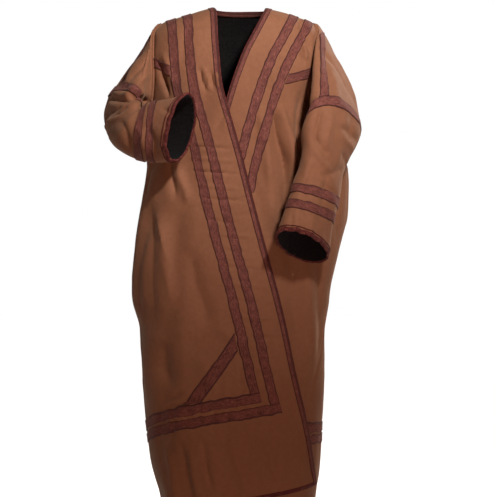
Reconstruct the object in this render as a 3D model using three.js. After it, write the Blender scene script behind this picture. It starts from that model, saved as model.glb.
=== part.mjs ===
// A farwa: a long, open-fronted wrap coat with woven braid, as hollow cloth walls.
// Millimetres. +X is the wearer's left, +Y the wearer's back, +Z up.
// The origin is midway between the shoulders, level with the top of the neck edge.
import * as THREE from 'three';

// ---------- driving sizes ----------
const WALL = 4; // outer cloth with its pile backing
const HALF_WALL = WALL / 2;
const SEAM_GAP = 0.3;
const HALF_SEAM = SEAM_GAP / 2;
const BRAID_WIDTH = 29;
const BRAID_THICKNESS = 1.6;
const EDGING_WIDTH = 14;
const EDGING_THICKNESS = 1.4;
const PILE_THICKNESS = 3;
const INNER_BRAID_START = 66; // along the cloth from the front edge
const OUTER_BRAID_START = 115;
const OVERLAP_LIFT = 11; // right front's middle surface, out from the left front's
const OVERLAP_RAMP = 60; // width over which the right front rises over the left
const OVERLAP_MARGIN = 12; // how far past the left front's edge it is fully risen

const SHOULDER_DROP = 46; // shoulder point below the neck point
const UNDERARM_DROP = 350;
const RIGHT_ARMHOLE_HALF_ANGLE = 25; // how far round the body the armhole reaches, degrees
const LEFT_ARMHOLE_HALF_ANGLE = 30;
const ARMHOLE_ROWS = 12; // rows of a panel beside the armhole
const BACK_NECK_SCOOP = 8;
const BACK_HEM_DROP = 1488;

// ---------- tables ----------
// Level sections of the body. squareness rounds the oval towards a rounded square.
const BODY_SECTIONS = [
  { z: 0, centreX: 0, halfWidth: 80, halfDepth: 70, squareness: 0 },
  { z: -15, centreX: -2, halfWidth: 137, halfDepth: 80, squareness: 0 },
  { z: -30, centreX: -5, halfWidth: 181, halfDepth: 90, squareness: 0 },
  { z: -46, centreX: -8, halfWidth: 222, halfDepth: 100, squareness: 0 },
  { z: -80, centreX: -12, halfWidth: 247, halfDepth: 116, squareness: 0.01 },
  { z: -150, centreX: -15, halfWidth: 254, halfDepth: 126, squareness: 0.02 },
  { z: -250, centreX: -14, halfWidth: 257, halfDepth: 131, squareness: 0.02 },
  { z: -350, centreX: -9, halfWidth: 263, halfDepth: 134, squareness: 0.02 },
  { z: -400, centreX: -2, halfWidth: 273, halfDepth: 135, squareness: 0.02 },
  { z: -470, centreX: 17, halfWidth: 288, halfDepth: 138, squareness: 0.02 },
  { z: -575, centreX: 8, halfWidth: 295, halfDepth: 143, squareness: 0.02 },
  { z: -675, centreX: -6, halfWidth: 298, halfDepth: 148, squareness: 0.02 },
  { z: -850, centreX: -27, halfWidth: 286, halfDepth: 156, squareness: 0.02 },
  { z: -940, centreX: -21, halfWidth: 266, halfDepth: 160, squareness: 0.02 },
  { z: -1080, centreX: -18, halfWidth: 263, halfDepth: 162, squareness: 0.02 },
  { z: -1255, centreX: -14, halfWidth: 250, halfDepth: 160, squareness: 0.02 },
  { z: -1343, centreX: -11, halfWidth: 241, halfDepth: 156, squareness: 0.02 },
  { z: -1421, centreX: -7, halfWidth: 226, halfDepth: 152, squareness: 0.02 },
  { z: -1500, centreX: -3, halfWidth: 212, halfDepth: 147, squareness: 0.02 },
];

// Front edges: how far across the edge lies at each level.
const RIGHT_FRONT_EDGE = [
  { z: 0, x: -80 },
  { z: -12, x: -73 },
  { z: -96, x: -68 },
  { z: -220, x: -55 },
  { z: -348, x: -22 },
  { z: -429, x: 1 },
  { z: -560, x: 33 },
  { z: -734, x: 78 },
  { z: -850, x: 108 },
  { z: -1067, x: 154 },
  { z: -1227, x: 188 },
  { z: -1380, x: 210 },
];
const LEFT_FRONT_EDGE = [
  { z: 0, x: 80 },
  { z: -12, x: 75 },
  { z: -70, x: 46 },
  { z: -125, x: 17 },
  { z: -183, x: -6 },
  { z: -223, x: -20 },
  { z: -357, x: -58 },
  { z: -531, x: -101 },
  { z: -705, x: -122 },
  { z: -995, x: -145 },
  { z: -1480, x: -162 },
];

// The left side seam swings round to the front towards the hem.
const LEFT_SIDE_SEAM = [
  { z: -350, angle: 90 },
  { z: -800, angle: 90 },
  { z: -937, angle: 79 },
  { z: -1151, angle: 51 },
  { z: -1488, angle: 34 },
];

// Rows of the panels. edge: level at the front edge. side: level at the armhole or side seam.
const NECK_LEVELS = [0, -4, -12, -30, -60, -98, -140, -184, -226, -264, -298, -326, -350];
const SKIRT_ROWS = [
  { name: 'waist', rightEdge: -440, leftEdge: -440, side: -450 },
  { name: 'belly', rightEdge: -530, leftEdge: -535, side: -552 },
  { name: 'hip', rightEdge: -622, leftEdge: -630, side: -655 },
  { name: 'seat', rightEdge: -716, leftEdge: -728, side: -760 },
  { name: 'thigh', rightEdge: -810, leftEdge: -830, side: -868 },
  { name: 'lowThigh', rightEdge: -905, leftEdge: -940, side: -980 },
  { name: 'knee', rightEdge: -998, leftEdge: -1055, side: -1092 },
  { name: 'upperBraidTop', rightEdge: -1090, leftEdge: -1180, side: -1203 },
  { name: 'upperBraidFoot', rightEdge: -1119, leftEdge: -1209, side: -1232 },
  { name: 'lowerBraidTop', rightEdge: -1131, leftEdge: -1216, side: -1238 },
  { name: 'lowerBraidFoot', rightEdge: -1160, leftEdge: -1245, side: -1267 },
  { name: 'shin', rightEdge: -1265, leftEdge: -1345, side: -1370 },
  { name: 'hemFold', rightEdge: -1370, leftEdge: -1450, side: -1478 },
  { name: 'hem', rightEdge: -1380, leftEdge: -1460, side: -1488 },
];

// Soft folds of the body. Angles are degrees round from the centre front, + to the wearer's left.
const BODY_FOLDS = [
  { topAngle: 62, topZ: -170, footAngle: 50, footZ: -640, halfWidth: 75, height: -34 },
  { topAngle: 27, topZ: -300, footAngle: 35, footZ: -560, halfWidth: 34, height: 9 },
  { topAngle: 19, topZ: -310, footAngle: 25, footZ: -620, halfWidth: 30, height: -8 },
  { topAngle: -62, topZ: -260, footAngle: -50, footZ: -500, halfWidth: 70, height: -16 },
  { topAngle: -44, topZ: -455, footAngle: -34, footZ: -640, halfWidth: 34, height: 8 },
  { topAngle: -53, topZ: -590, footAngle: -38, footZ: -930, halfWidth: 48, height: 9 },
  { topAngle: -65, topZ: -540, footAngle: -64, footZ: -960, halfWidth: 42, height: -9 },
  { topAngle: -50, topZ: -960, footAngle: -47, footZ: -1150, halfWidth: 60, height: -12 },
  { topAngle: -62, topZ: -1270, footAngle: -50, footZ: -1500, halfWidth: 36, height: 7 },
  { topAngle: -38, topZ: -1270, footAngle: -32, footZ: -1500, halfWidth: 34, height: -7 },
  { topAngle: 106, topZ: -330, footAngle: 103, footZ: -720, halfWidth: 60, height: 20 },
  { topAngle: 132, topZ: -300, footAngle: 126, footZ: -1180, halfWidth: 52, height: -13 },
  { topAngle: 152, topZ: -420, footAngle: 150, footZ: -1500, halfWidth: 50, height: 12 },
  { topAngle: 173, topZ: -260, footAngle: 170, footZ: -1300, halfWidth: 54, height: -12 },
  { topAngle: -166, topZ: -380, footAngle: -168, footZ: -1500, halfWidth: 50, height: 13 },
  { topAngle: -146, topZ: -330, footAngle: -142, footZ: -1250, halfWidth: 52, height: -12 },
  { topAngle: -122, topZ: -450, footAngle: -120, footZ: -1500, halfWidth: 50, height: 11 },
];
const FOLD_FADE = 110; // length over which a fold fades in and out

// Sleeve rings. crest: outer side, under: inner side, front: side towards the front. x, y, z.
const LEFT_SLEEVE_RINGS = [
  { name: 'capTop', crest: [244, -4, -73], under: [259, -10, -342], front: [218, -91, -189] },
  { name: 'capMiddle', crest: [259, -11, -110], under: [249, -43, -339], front: [211, -118, -200] },
  { name: 'capFoot', crest: [284, -27, -162], under: [240, -76, -336], front: [211, -147, -217] },
  { name: 'upperArm', crest: [311, -52, -226], under: [227, -106, -338], front: [217, -173, -237] },
  { name: 'armBraidTop', crest: [336, -78, -312], under: [211, -131, -346], front: [236, -192, -266] },
  { name: 'armBraidFoot', crest: [342, -88, -342], under: [191, -147, -362], front: [240, -200, -294] },
  { name: 'aboveElbow', crest: [334, -106, -385], under: [177, -160, -388], front: [238, -212, -340] },
  { name: 'elbow', crest: [315, -122, -430], under: [178, -176, -428], front: [236, -222, -392] },
  { name: 'belowElbow', crest: [296, -136, -482], under: [170, -188, -474], front: [226, -234, -446] },
  { name: 'upperBraidTop', crest: [284, -150, -556], under: [152, -200, -522], front: [208, -246, -522] },
  { name: 'upperBraidFoot', crest: [277, -156, -586], under: [146, -206, -548], front: [203, -251, -550] },
  { name: 'lowerBraidTop', crest: [273, -159, -602], under: [139, -210, -564], front: [198, -255, -568] },
  { name: 'lowerBraidFoot', crest: [265, -164, -630], under: [131, -216, -590], front: [192, -260, -595] },
  { name: 'cuffFold', crest: [253, -180, -705], under: [107, -234, -664], front: [172, -280, -645] },
  { name: 'cuff', crest: [251, -182, -714], under: [104, -236, -673], front: [170, -283, -653] },
];
const RIGHT_SLEEVE_RINGS = [
  { name: 'capTop', crest: [-258, -2, -80], under: [-282, -5, -339], front: [-268, -81, -191] },
  { name: 'capMiddle', crest: [-286, -8, -130], under: [-287, -22, -325], front: [-275, -98, -205] },
  { name: 'capFoot', crest: [-322, -14, -182], under: [-291, -39, -312], front: [-286, -116, -226] },
  { name: 'armBraidTop', crest: [-352, -22, -226], under: [-294, -58, -303], front: [-298, -132, -238] },
  { name: 'armBraidFoot', crest: [-373, -30, -254], under: [-295, -76, -299], front: [-305, -141, -255] },
  { name: 'elbowTop', crest: [-388, -44, -305], under: [-293, -93, -299], front: [-316, -155, -284] },
  { name: 'elbow', crest: [-386, -62, -353], under: [-288, -110, -300], front: [-323, -169, -312] },
  { name: 'elbowFoot', crest: [-363, -92, -402], under: [-279, -127, -299], front: [-325, -190, -342] },
  { name: 'upperBraidTop', crest: [-298, -130, -440], under: [-270, -143, -293], front: [-298, -208, -363] },
  { name: 'upperBraidFoot', crest: [-272, -146, -447], under: [-262, -156, -285], front: [-276, -221, -364] },
  { name: 'lowerBraidTop', crest: [-262, -153, -449], under: [-253, -164, -283], front: [-267, -226, -364] },
  { name: 'lowerBraidFoot', crest: [-240, -168, -452], under: [-233, -180, -280], front: [-248, -236, -363] },
  { name: 'cuffFold', crest: [-193, -204, -451], under: [-158, -230, -263], front: [-212, -267, -360] },
  { name: 'cuff', crest: [-186, -210, -450], under: [-150, -237, -260], front: [-204, -273, -359] },
];
const RING_POINTS = 2 * ARMHOLE_ROWS;
const SEAM_TURN_INSET = 3.5; // the sleeve turns out of the armhole just inside the seam
const SEAM_TURN_HEIGHT = 5;
const LEFT_RING = ringIndex(LEFT_SLEEVE_RINGS);
const RIGHT_RING = ringIndex(RIGHT_SLEEVE_RINGS);

// Rows of a sleeve's grid: the seam, the turn out of the seam, and then the table's rings.
function ringIndex(rings) {
  return Object.fromEntries(rings.map((ring, i) => [ring.name, i + 2]));
}

// ---------- finishes ----------
const CLOTH = { color: 0x7d553c, roughness: 0.85, metalness: 0 };
const BRAID = { color: 0x733c37, roughness: 0.7, metalness: 0 };
const PIPING = { color: 0x64282a, roughness: 0.65, metalness: 0 };
const PILE = { color: 0x141213, roughness: 0.95, metalness: 0 };

// ---------- curves ----------
const radians = THREE.MathUtils.degToRad;
const mix = THREE.MathUtils.lerp;
const smooth = (value) => THREE.MathUtils.smoothstep(value, 0, 1);
const vector = (xyz) => new THREE.Vector3(...xyz);

// A smooth curve through a table's rows that never overshoots them.
function curveThrough(rows, from, to) {
  const sorted = [...rows].sort((first, second) => first[from] - second[from]);
  const along = sorted.map((row) => row[from]);
  const value = sorted.map((row) => row[to]);
  const last = along.length - 1;
  const secant = along.slice(1).map((end, i) => (value[i + 1] - value[i]) / (end - along[i]));
  const slope = along.map((_, i) => {
    if (i === 0) return secant[0];
    if (i === last) return secant[last - 1];
    const before = secant[i - 1];
    const after = secant[i];
    return before * after <= 0 ? 0 : (2 * before * after) / (before + after);
  });
  return (at) => {
    const place = Math.min(Math.max(at, along[0]), along[last]);
    let i = 0;
    while (i < last - 1 && place > along[i + 1]) i += 1;
    const span = along[i + 1] - along[i];
    const t = (place - along[i]) / span;
    const rise = value[i + 1] - value[i];
    const bend = slope[i] * span + slope[i + 1] * span - 2 * rise;
    return value[i] + t * (slope[i] * span + t * (rise - slope[i] * span - bend + t * bend));
  };
}

const section = {};
for (const column of ['centreX', 'halfWidth', 'halfDepth', 'squareness']) {
  section[column] = curveThrough(BODY_SECTIONS, 'z', column);
}
const rightEdgeX = curveThrough(RIGHT_FRONT_EDGE, 'z', 'x');
const leftEdgeX = curveThrough(LEFT_FRONT_EDGE, 'z', 'x');
const leftSeamAngle = curveThrough(LEFT_SIDE_SEAM, 'z', 'angle');

// ---------- the body's surface ----------
// A point of the plain section; angle in degrees round from the centre front.
function sectionPoint(angle, z) {
  const turn = radians(angle);
  const square = section.squareness(z);
  const across = (Math.sin(turn) + square * Math.sin(3 * turn)) / (1 - square);
  const forward = (Math.cos(turn) - square * Math.cos(3 * turn)) / (1 - square);
  const x = section.centreX(z) + section.halfWidth(z) * across;
  return new THREE.Vector3(x, -section.halfDepth(z) * forward, z);
}

// The front angle at which the plain section reaches x.
function angleAt(x, z) {
  let low = -90;
  let high = 90;
  while (high - low > 1e-6) {
    const middle = (low + high) / 2;
    if (sectionPoint(middle, z).x < x) low = middle;
    else high = middle;
  }
  return (low + high) / 2;
}

function foldLift(angle, z) {
  const radius = (section.halfWidth(z) + section.halfDepth(z)) / 2;
  let lift = 0;
  for (const fold of BODY_FOLDS) {
    const t = (fold.topZ - z) / (fold.topZ - fold.footZ);
    const middle = mix(fold.topAngle, fold.footAngle, t);
    const turn = THREE.MathUtils.euclideanModulo(angle - middle + 180, 360) - 180;
    const side = (radians(turn) * radius) / fold.halfWidth;
    const fadeIn = smooth((fold.topZ - z) / FOLD_FADE);
    const fadeOut = smooth((z - fold.footZ) / FOLD_FADE);
    const runsOut = fold.footZ < -BACK_HEM_DROP;
    lift += fold.height * Math.exp(-side * side) * fadeIn * (runsOut ? 1 : fadeOut);
  }
  return lift;
}

const noLift = () => 0;
const overlapLift = (x, z) => {
  const past = x - leftEdgeX(z) + OVERLAP_RAMP + OVERLAP_MARGIN;
  return OVERLAP_LIFT * smooth(past / OVERLAP_RAMP);
};

// A point of the cloth's middle surface, with its folds and its layer's lift.
function clothPoint(layerLift, angle, z) {
  const point = sectionPoint(angle, z);
  const turn = radians(angle);
  const out = new THREE.Vector3(
    Math.sin(turn) * section.halfDepth(z),
    -Math.cos(turn) * section.halfWidth(z),
    0,
  ).normalize();
  return point.addScaledVector(out, foldLift(angle, z) + layerLift(point.x, z));
}

const ANGLE_STEP = 0.5;
const LEVEL_STEP = 2;
function clothNormal(layerLift, angle, z) {
  const below = Math.max(z - LEVEL_STEP, -BACK_HEM_DROP);
  const above = Math.min(z + LEVEL_STEP, 0);
  const around = clothPoint(layerLift, angle + ANGLE_STEP, z)
    .sub(clothPoint(layerLift, angle - ANGLE_STEP, z));
  const up = clothPoint(layerLift, angle, above).sub(clothPoint(layerLift, angle, below));
  return around.cross(up).normalize();
}

// Degrees round the body that half a seam's gap takes up.
function seamAngle(angle, z) {
  const step = sectionPoint(angle + ANGLE_STEP, z).distanceTo(sectionPoint(angle - ANGLE_STEP, z));
  return (HALF_SEAM * 2 * ANGLE_STEP) / step;
}

// The armhole: an oval round the side of the body. turn is 0 at the shoulder and 180 underarm.
function armholePlace(side, halfAngle, turn, inset) {
  const middle = -(SHOULDER_DROP + UNDERARM_DROP) / 2;
  const halfHeight = (UNDERARM_DROP - SHOULDER_DROP) / 2 - inset;
  const reach = halfAngle - THREE.MathUtils.radToDeg(inset / section.halfDepth(middle));
  return {
    angle: side * (90 - reach * Math.sin(radians(turn))),
    z: middle + halfHeight * Math.cos(radians(turn)),
  };
}

// ---------- panels ----------
// A grid of middle points and outward normals: points[row][column].
function panelFromPlaces(layerLift, places) {
  return {
    points: places.map((row) => row.map((at) => clothPoint(layerLift, at.angle, at.z))),
    normals: places.map((row) => row.map((at) => clothNormal(layerLift, at.angle, at.z))),
  };
}

const ROW_SAMPLES = 72;
// Places along one row, at the given distances from its front edge and then evenly to its end.
function rowPlaces(layerLift, start, end, distances, spareColumns) {
  const at = (t) => ({ angle: mix(start.angle, end.angle, t), z: mix(start.z, end.z, t) });
  const lengths = [0];
  let before = clothPoint(layerLift, start.angle, start.z);
  for (let i = 1; i <= ROW_SAMPLES; i += 1) {
    const place = at(i / ROW_SAMPLES);
    const point = clothPoint(layerLift, place.angle, place.z);
    lengths.push(lengths[i - 1] + point.distanceTo(before));
    before = point;
  }
  const whole = lengths[ROW_SAMPLES];
  const last = distances[distances.length - 1];
  const wanted = [...distances];
  for (let i = 1; i <= spareColumns; i += 1) wanted.push(mix(last, whole, i / spareColumns));
  return wanted.map((distance) => {
    let i = 1;
    while (i < ROW_SAMPLES && lengths[i] < distance) i += 1;
    const part = (distance - lengths[i - 1]) / (lengths[i] - lengths[i - 1]);
    return at(Math.min((i - 1 + part) / ROW_SAMPLES, 1));
  });
}

const FRONT_COLUMNS = [
  0,
  EDGING_WIDTH,
  INNER_BRAID_START,
  INNER_BRAID_START + BRAID_WIDTH,
  OUTER_BRAID_START,
  OUTER_BRAID_START + BRAID_WIDTH,
];
const COLUMN = { edge: 0, edging: 1, innerBraid: 2, outerBraid: 4, outerBraidEnd: 5 };
const rowNamed = (name) => ARMHOLE_ROWS + 1 + SKIRT_ROWS.findIndex((row) => row.name === name);

function frontPanel({ side, halfAngle, layerLift, edgeX, edgeColumn, seamAt, spareColumns }) {
  const places = [];
  for (let i = 0; i <= ARMHOLE_ROWS; i += 1) {
    const outer = armholePlace(side, halfAngle, (180 * i) / ARMHOLE_ROWS, 0);
    outer.angle -= side * seamAngle(outer.angle, outer.z);
    const edgeZ = NECK_LEVELS[i];
    const edgeAngle = i === 0 ? outer.angle : angleAt(edgeX(edgeZ), edgeZ);
    const start = { angle: edgeAngle, z: edgeZ };
    places.push(rowPlaces(layerLift, start, outer, FRONT_COLUMNS, spareColumns));
  }
  for (const row of SKIRT_ROWS) {
    const start = { angle: angleAt(edgeX(row[edgeColumn]), row[edgeColumn]), z: row[edgeColumn] };
    const seam = seamAt(row.side);
    const end = { angle: seam - side * seamAngle(seam, row.side), z: row.side };
    places.push(rowPlaces(layerLift, start, end, FRONT_COLUMNS, spareColumns));
  }
  return panelFromPlaces(layerLift, places);
}

const BACK_COLUMNS = 22;
const SHOULDER_COLUMNS = 6; // columns of the back along each shoulder seam
// The back's top row: along one shoulder, round the back neck and along the other shoulder.
function backTopPlace(column) {
  const seam = seamAngle(90, -SHOULDER_DROP);
  const fromEnd = Math.min(column, BACK_COLUMNS - column);
  const neckEnd = 90 + seam;
  if (fromEnd <= SHOULDER_COLUMNS) {
    const angle = column < SHOULDER_COLUMNS + 1 ? 360 - neckEnd : neckEnd;
    return { angle, z: -SHOULDER_DROP * (1 - fromEnd / SHOULDER_COLUMNS) };
  }
  const t = (column - SHOULDER_COLUMNS) / (BACK_COLUMNS - 2 * SHOULDER_COLUMNS);
  return { angle: mix(360 - neckEnd, neckEnd, t), z: -BACK_NECK_SCOOP * Math.sin(Math.PI * t) };
}

function backPanel() {
  const rows = [];
  for (let i = 0; i <= ARMHOLE_ROWS; i += 1) {
    const turn = (180 * i) / ARMHOLE_ROWS;
    const right = armholePlace(-1, -RIGHT_ARMHOLE_HALF_ANGLE, turn, 0);
    const left = armholePlace(1, -LEFT_ARMHOLE_HALF_ANGLE, turn, 0);
    rows.push({
      start: 360 + right.angle - seamAngle(90, right.z),
      end: left.angle + seamAngle(90, left.z),
      z: right.z,
      neckShare: (1 - i / ARMHOLE_ROWS) ** 2,
    });
  }
  for (const row of SKIRT_ROWS) {
    const seam = seamAngle(90, row.side);
    rows.push({
      start: 270 - seam,
      end: leftSeamAngle(row.side) + seamAngle(leftSeamAngle(row.side), row.side),
      z: row.side,
      neckShare: 0,
    });
  }
  const places = rows.map((row) => {
    const line = [];
    for (let column = 0; column <= BACK_COLUMNS; column += 1) {
      const t = column / BACK_COLUMNS;
      const top = backTopPlace(column);
      const topAngle = top.angle - mix(rows[0].start, rows[0].end, t);
      const angle = mix(row.start, row.end, t) + row.neckShare * topAngle;
      line.push({ angle, z: row.z + row.neckShare * (top.z + SHOULDER_DROP) });
    }
    return line;
  });
  const panel = panelFromPlaces(noLift, places);
  return reverseColumns(panel);
}

// Columns run the same way round the body on every panel, so that faces point out.
function reverseColumns(panel) {
  return {
    points: panel.points.map((row) => [...row].reverse()),
    normals: panel.normals.map((row) => [...row].reverse()),
  };
}

// ---------- sleeves ----------
function sleevePanel(side, halfAngle, rings) {
  const places = [];
  for (let j = 0; j < RING_POINTS; j += 1) {
    places.push(armholePlace(side, halfAngle, (360 * j) / RING_POINTS, SEAM_GAP + 0.1));
  }
  const seam = panelFromPlaces(noLift, [places]);
  const turnedPlaces = places.map((_, j) => (
    armholePlace(side, halfAngle, (360 * j) / RING_POINTS, SEAM_TURN_INSET)));
  const turned = panelFromPlaces(noLift, [turnedPlaces]);
  const points = [seam.points[0], moved(turned, SEAM_TURN_HEIGHT)[0]];
  for (const ring of rings) {
    const crest = vector(ring.crest);
    const under = vector(ring.under);
    const centre = crest.clone().add(under).multiplyScalar(0.5);
    const across = crest.clone().sub(centre);
    const forward = vector(ring.front).sub(centre);
    const line = [];
    for (let j = 0; j < RING_POINTS; j += 1) {
      const turn = radians((360 * j) / RING_POINTS);
      line.push(centre.clone()
        .addScaledVector(across, Math.cos(turn))
        .addScaledVector(forward, Math.sin(turn)));
    }
    points.push(line);
  }
  const normals = ringNormals(points);
  normals[0] = seam.normals[0];
  return { points, normals };
}

function ringNormals(points) {
  const last = points.length - 1;
  return points.map((line, i) => {
    const centre = line.reduce((sum, point) => sum.add(point), new THREE.Vector3())
      .divideScalar(line.length);
    return line.map((point, j) => {
      const next = line[(j + 1) % line.length];
      const before = line[(j + line.length - 1) % line.length];
      const along = points[Math.min(i + 1, last)][j].clone().sub(points[Math.max(i - 1, 0)][j]);
      const normal = next.clone().sub(before).cross(along).normalize();
      return normal.dot(point.clone().sub(centre)) < 0 ? normal.negate() : normal;
    });
  });
}

// ---------- solids ----------
// A closed wall between two grids of points. Rows or columns may close on themselves.
// Each cell is split from its first corner to its third, or the other way where it is turned.
function wallGeometry(outer, inner, options = {}) {
  const { closedRows = false, closedColumns = false, turned = [] } = options;
  const rows = outer.length;
  const columns = outer[0].length;
  const count = rows * columns;
  const positions = [...outer.flat(), ...inner.flat()].flatMap((point) => point.toArray());
  const faces = [];
  const quad = (a, b, c, d) => faces.push(a, b, c, a, c, d);
  const cell = (turn, a, b, c, d) => (turn ? quad(b, c, d, a) : quad(a, b, c, d));
  const out = (i, j) => (i % rows) * columns + (j % columns);
  const inn = (i, j) => count + out(i, j);
  const rowSteps = closedRows ? rows : rows - 1;
  const columnSteps = closedColumns ? columns : columns - 1;
  for (let i = 0; i < rowSteps; i += 1) {
    for (let j = 0; j < columnSteps; j += 1) {
      const turn = turned.includes(j);
      cell(turn, out(i, j), out(i + 1, j), out(i + 1, j + 1), out(i, j + 1));
      cell(turn, inn(i, j), inn(i, j + 1), inn(i + 1, j + 1), inn(i + 1, j));
    }
  }
  for (let i = 0; i < rowSteps && !closedColumns; i += 1) {
    quad(out(i, 0), inn(i, 0), inn(i + 1, 0), out(i + 1, 0));
    quad(out(i, columns - 1), out(i + 1, columns - 1), inn(i + 1, columns - 1), inn(i, columns - 1));
  }
  for (let j = 0; j < columnSteps && !closedRows; j += 1) {
    quad(out(0, j), out(0, j + 1), inn(0, j + 1), inn(0, j));
    quad(out(rows - 1, j), inn(rows - 1, j), inn(rows - 1, j + 1), out(rows - 1, j + 1));
  }
  const geometry = new THREE.BufferGeometry();
  geometry.setAttribute('position', new THREE.Float32BufferAttribute(positions, 3));
  geometry.setIndex(signedVolume(positions, faces) < 0 ? faces.reverse() : faces);
  geometry.computeVertexNormals();
  return geometry;
}

function signedVolume(positions, faces) {
  const corner = (index) => vector(positions.slice(3 * index, 3 * index + 3));
  let volume = 0;
  for (let i = 0; i < faces.length; i += 3) {
    volume += corner(faces[i]).dot(corner(faces[i + 1]).cross(corner(faces[i + 2])));
  }
  return volume;
}

const moved = (panel, height) => panel.points.map((row, i) => (
  row.map((point, j) => point.clone().addScaledVector(panel.normals[i][j], height))));

function part(panel, [firstRow, lastRow], [firstColumn, lastColumn]) {
  const cut = (grid) => grid.slice(firstRow, lastRow + 1)
    .map((row) => row.slice(firstColumn, lastColumn + 1));
  return { points: cut(panel.points), normals: cut(panel.normals) };
}

const group = new THREE.Group();
function addSolid(name, geometry, finish) {
  const mesh = new THREE.Mesh(geometry, new THREE.MeshStandardMaterial(finish));
  mesh.name = name;
  group.add(mesh);
}

function addWall(name, panel, finish, low = -HALF_WALL, high = HALF_WALL, closed = {}) {
  addSolid(name, wallGeometry(moved(panel, high), moved(panel, low), closed), finish);
}

// A braid lies on a panel's own rows and columns, moved out.
const BRAID_BASE = HALF_WALL + SEAM_GAP;
function addBraid(name, panel, closed = {}) {
  addWall(name, panel, BRAID, BRAID_BASE, BRAID_BASE + BRAID_THICKNESS, closed);
}

// Pulls a grid's first or last row back by a seam's gap, to part it from the piece it meets.
function parted(panel, { first = false, last = false } = {}) {
  const points = panel.points.map((row) => row.map((point) => point.clone()));
  const pull = (from, to) => points[from].forEach((point, j) => {
    const step = panel.points[to][j].clone().sub(point);
    point.addScaledVector(step.normalize(), SEAM_GAP);
  });
  if (first) pull(0, 1);
  if (last) pull(points.length - 1, points.length - 2);
  return { points, normals: panel.normals };
}

// Edging folded over a panel's edge. Its cells are split as the panel's are, so that it lies
// evenly on them: edgeFirst says that the panel's edge is its first row or column.
function addEdging(name, stations, finish, { edgeFirst, closedRows = false }) {
  const near = HALF_WALL + SEAM_GAP;
  const profile = (height, gap) => stations.map((station) => {
    const { edge, inner, edgeNormal, innerNormal } = station;
    const past = edge.clone().sub(station.pastFrom ?? inner);
    past.addScaledVector(edgeNormal, -past.dot(edgeNormal)).normalize().multiplyScalar(gap);
    return [
      inner.clone().addScaledVector(innerNormal, height),
      edge.clone().add(past).addScaledVector(edgeNormal, height),
      edge.clone().add(past).addScaledVector(edgeNormal, -height),
      inner.clone().addScaledVector(innerNormal, -height),
    ];
  });
  const outer = profile(near + EDGING_THICKNESS, SEAM_GAP + EDGING_THICKNESS);
  const turned = [edgeFirst ? 0 : 2];
  addSolid(name, wallGeometry(outer, profile(near, SEAM_GAP), { closedRows, turned }), finish);
}

function stationsAlong(points, normals, edgeIndex, innerIndex, first, last) {
  const stations = [];
  for (let j = first; j <= last; j += 1) {
    stations.push({
      edge: points[edgeIndex][j],
      inner: points[innerIndex][j],
      edgeNormal: normals[edgeIndex][j],
      innerNormal: normals[innerIndex][j],
    });
  }
  return stations;
}
const transpose = (grid) => grid[0].map((_, j) => grid.map((row) => row[j]));

// ---------- a braid laid slantwise on a panel ----------
// Extra clearance where a strip crosses the panel's facets.
const STRIP_LIFT = { chest: 0.4, slant: 1.2, crest: 1.5 };
const STRIP_STEP = 0.5; // columns or rows between a strip's stations
const STRIP_SHARES = [0, 1 / 3, 2 / 3, 1]; // points across a strip, as shares of its width
const STRIP_TAPER = 0.1; // rows between a strip's two edges where it runs out
function pointOn(panel, row, column) {
  const i = Math.min(Math.floor(row), panel.points.length - 2);
  const j = Math.floor(column);
  const next = (j + 1) % panel.points[0].length;
  const blend = (grid) => {
    const top = grid[i][j].clone().lerp(grid[i][next], column - j);
    const foot = grid[i + 1][j].clone().lerp(grid[i + 1][next], column - j);
    return top.lerp(foot, row - i);
  };
  return { point: blend(panel.points), normal: blend(panel.normals).normalize() };
}

// places: for each station along the strip, its [row, column] places across the panel.
function addStrip(name, panel, places, lift) {
  const base = BRAID_BASE + lift;
  const surface = (height) => places.map((line) => line.map(([atRow, atColumn]) => {
    const { point, normal } = pointOn(panel, atRow, atColumn);
    return point.addScaledVector(normal, height);
  }));
  addSolid(name, wallGeometry(surface(base + BRAID_THICKNESS), surface(base)), BRAID);
}

// Row of a panel whose level at the given column is z.
function rowAtLevel(panel, column, z) {
  const level = (atRow) => pointOn(panel, atRow, column).point.z;
  let i = 0;
  while (i < panel.points.length - 2 && level(i + 1) > z) i += 1;
  return i + (z - level(i)) / (level(i + 1) - level(i));
}

// A strip across a front, between two ends given by column and by the levels of its edges.
// It is cut off along lastRow, where it meets a braid.
function crossingPlaces(panel, start, end, lastRow = Infinity) {
  const lines = [];
  const steps = Math.round((end.column - start.column) / STRIP_STEP);
  for (let i = 0; i <= steps; i += 1) {
    const t = i / steps;
    const column = mix(start.column, end.column, t);
    const top = mix(start.top, end.top, t);
    const foot = mix(start.foot, end.foot, t);
    lines.push(STRIP_SHARES.map((share) => {
      const wanted = rowAtLevel(panel, column, mix(top, foot, share));
      return [Math.min(wanted, lastRow - (1 - share) * STRIP_TAPER), column];
    }));
  }
  return lines;
}

// A strip down a sleeve, from ring to ring: degrees round from the crest, and half its width.
function crestPlaces(ring, path) {
  const perColumn = 360 / RING_POINTS;
  const rows = path.map((stop) => ({ ...stop, row: ring[stop.ring] }));
  const middleAt = curveThrough(rows, 'row', 'middle');
  const halfAt = curveThrough(rows, 'row', 'half');
  const lines = [];
  for (let at = rows[0].row; at <= rows[rows.length - 1].row; at += STRIP_STEP) {
    lines.push(STRIP_SHARES.map((share) => (
      [at, (middleAt(at) + halfAt(at) * (2 * share - 1)) / perColumn])));
  }
  return lines;
}

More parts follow.
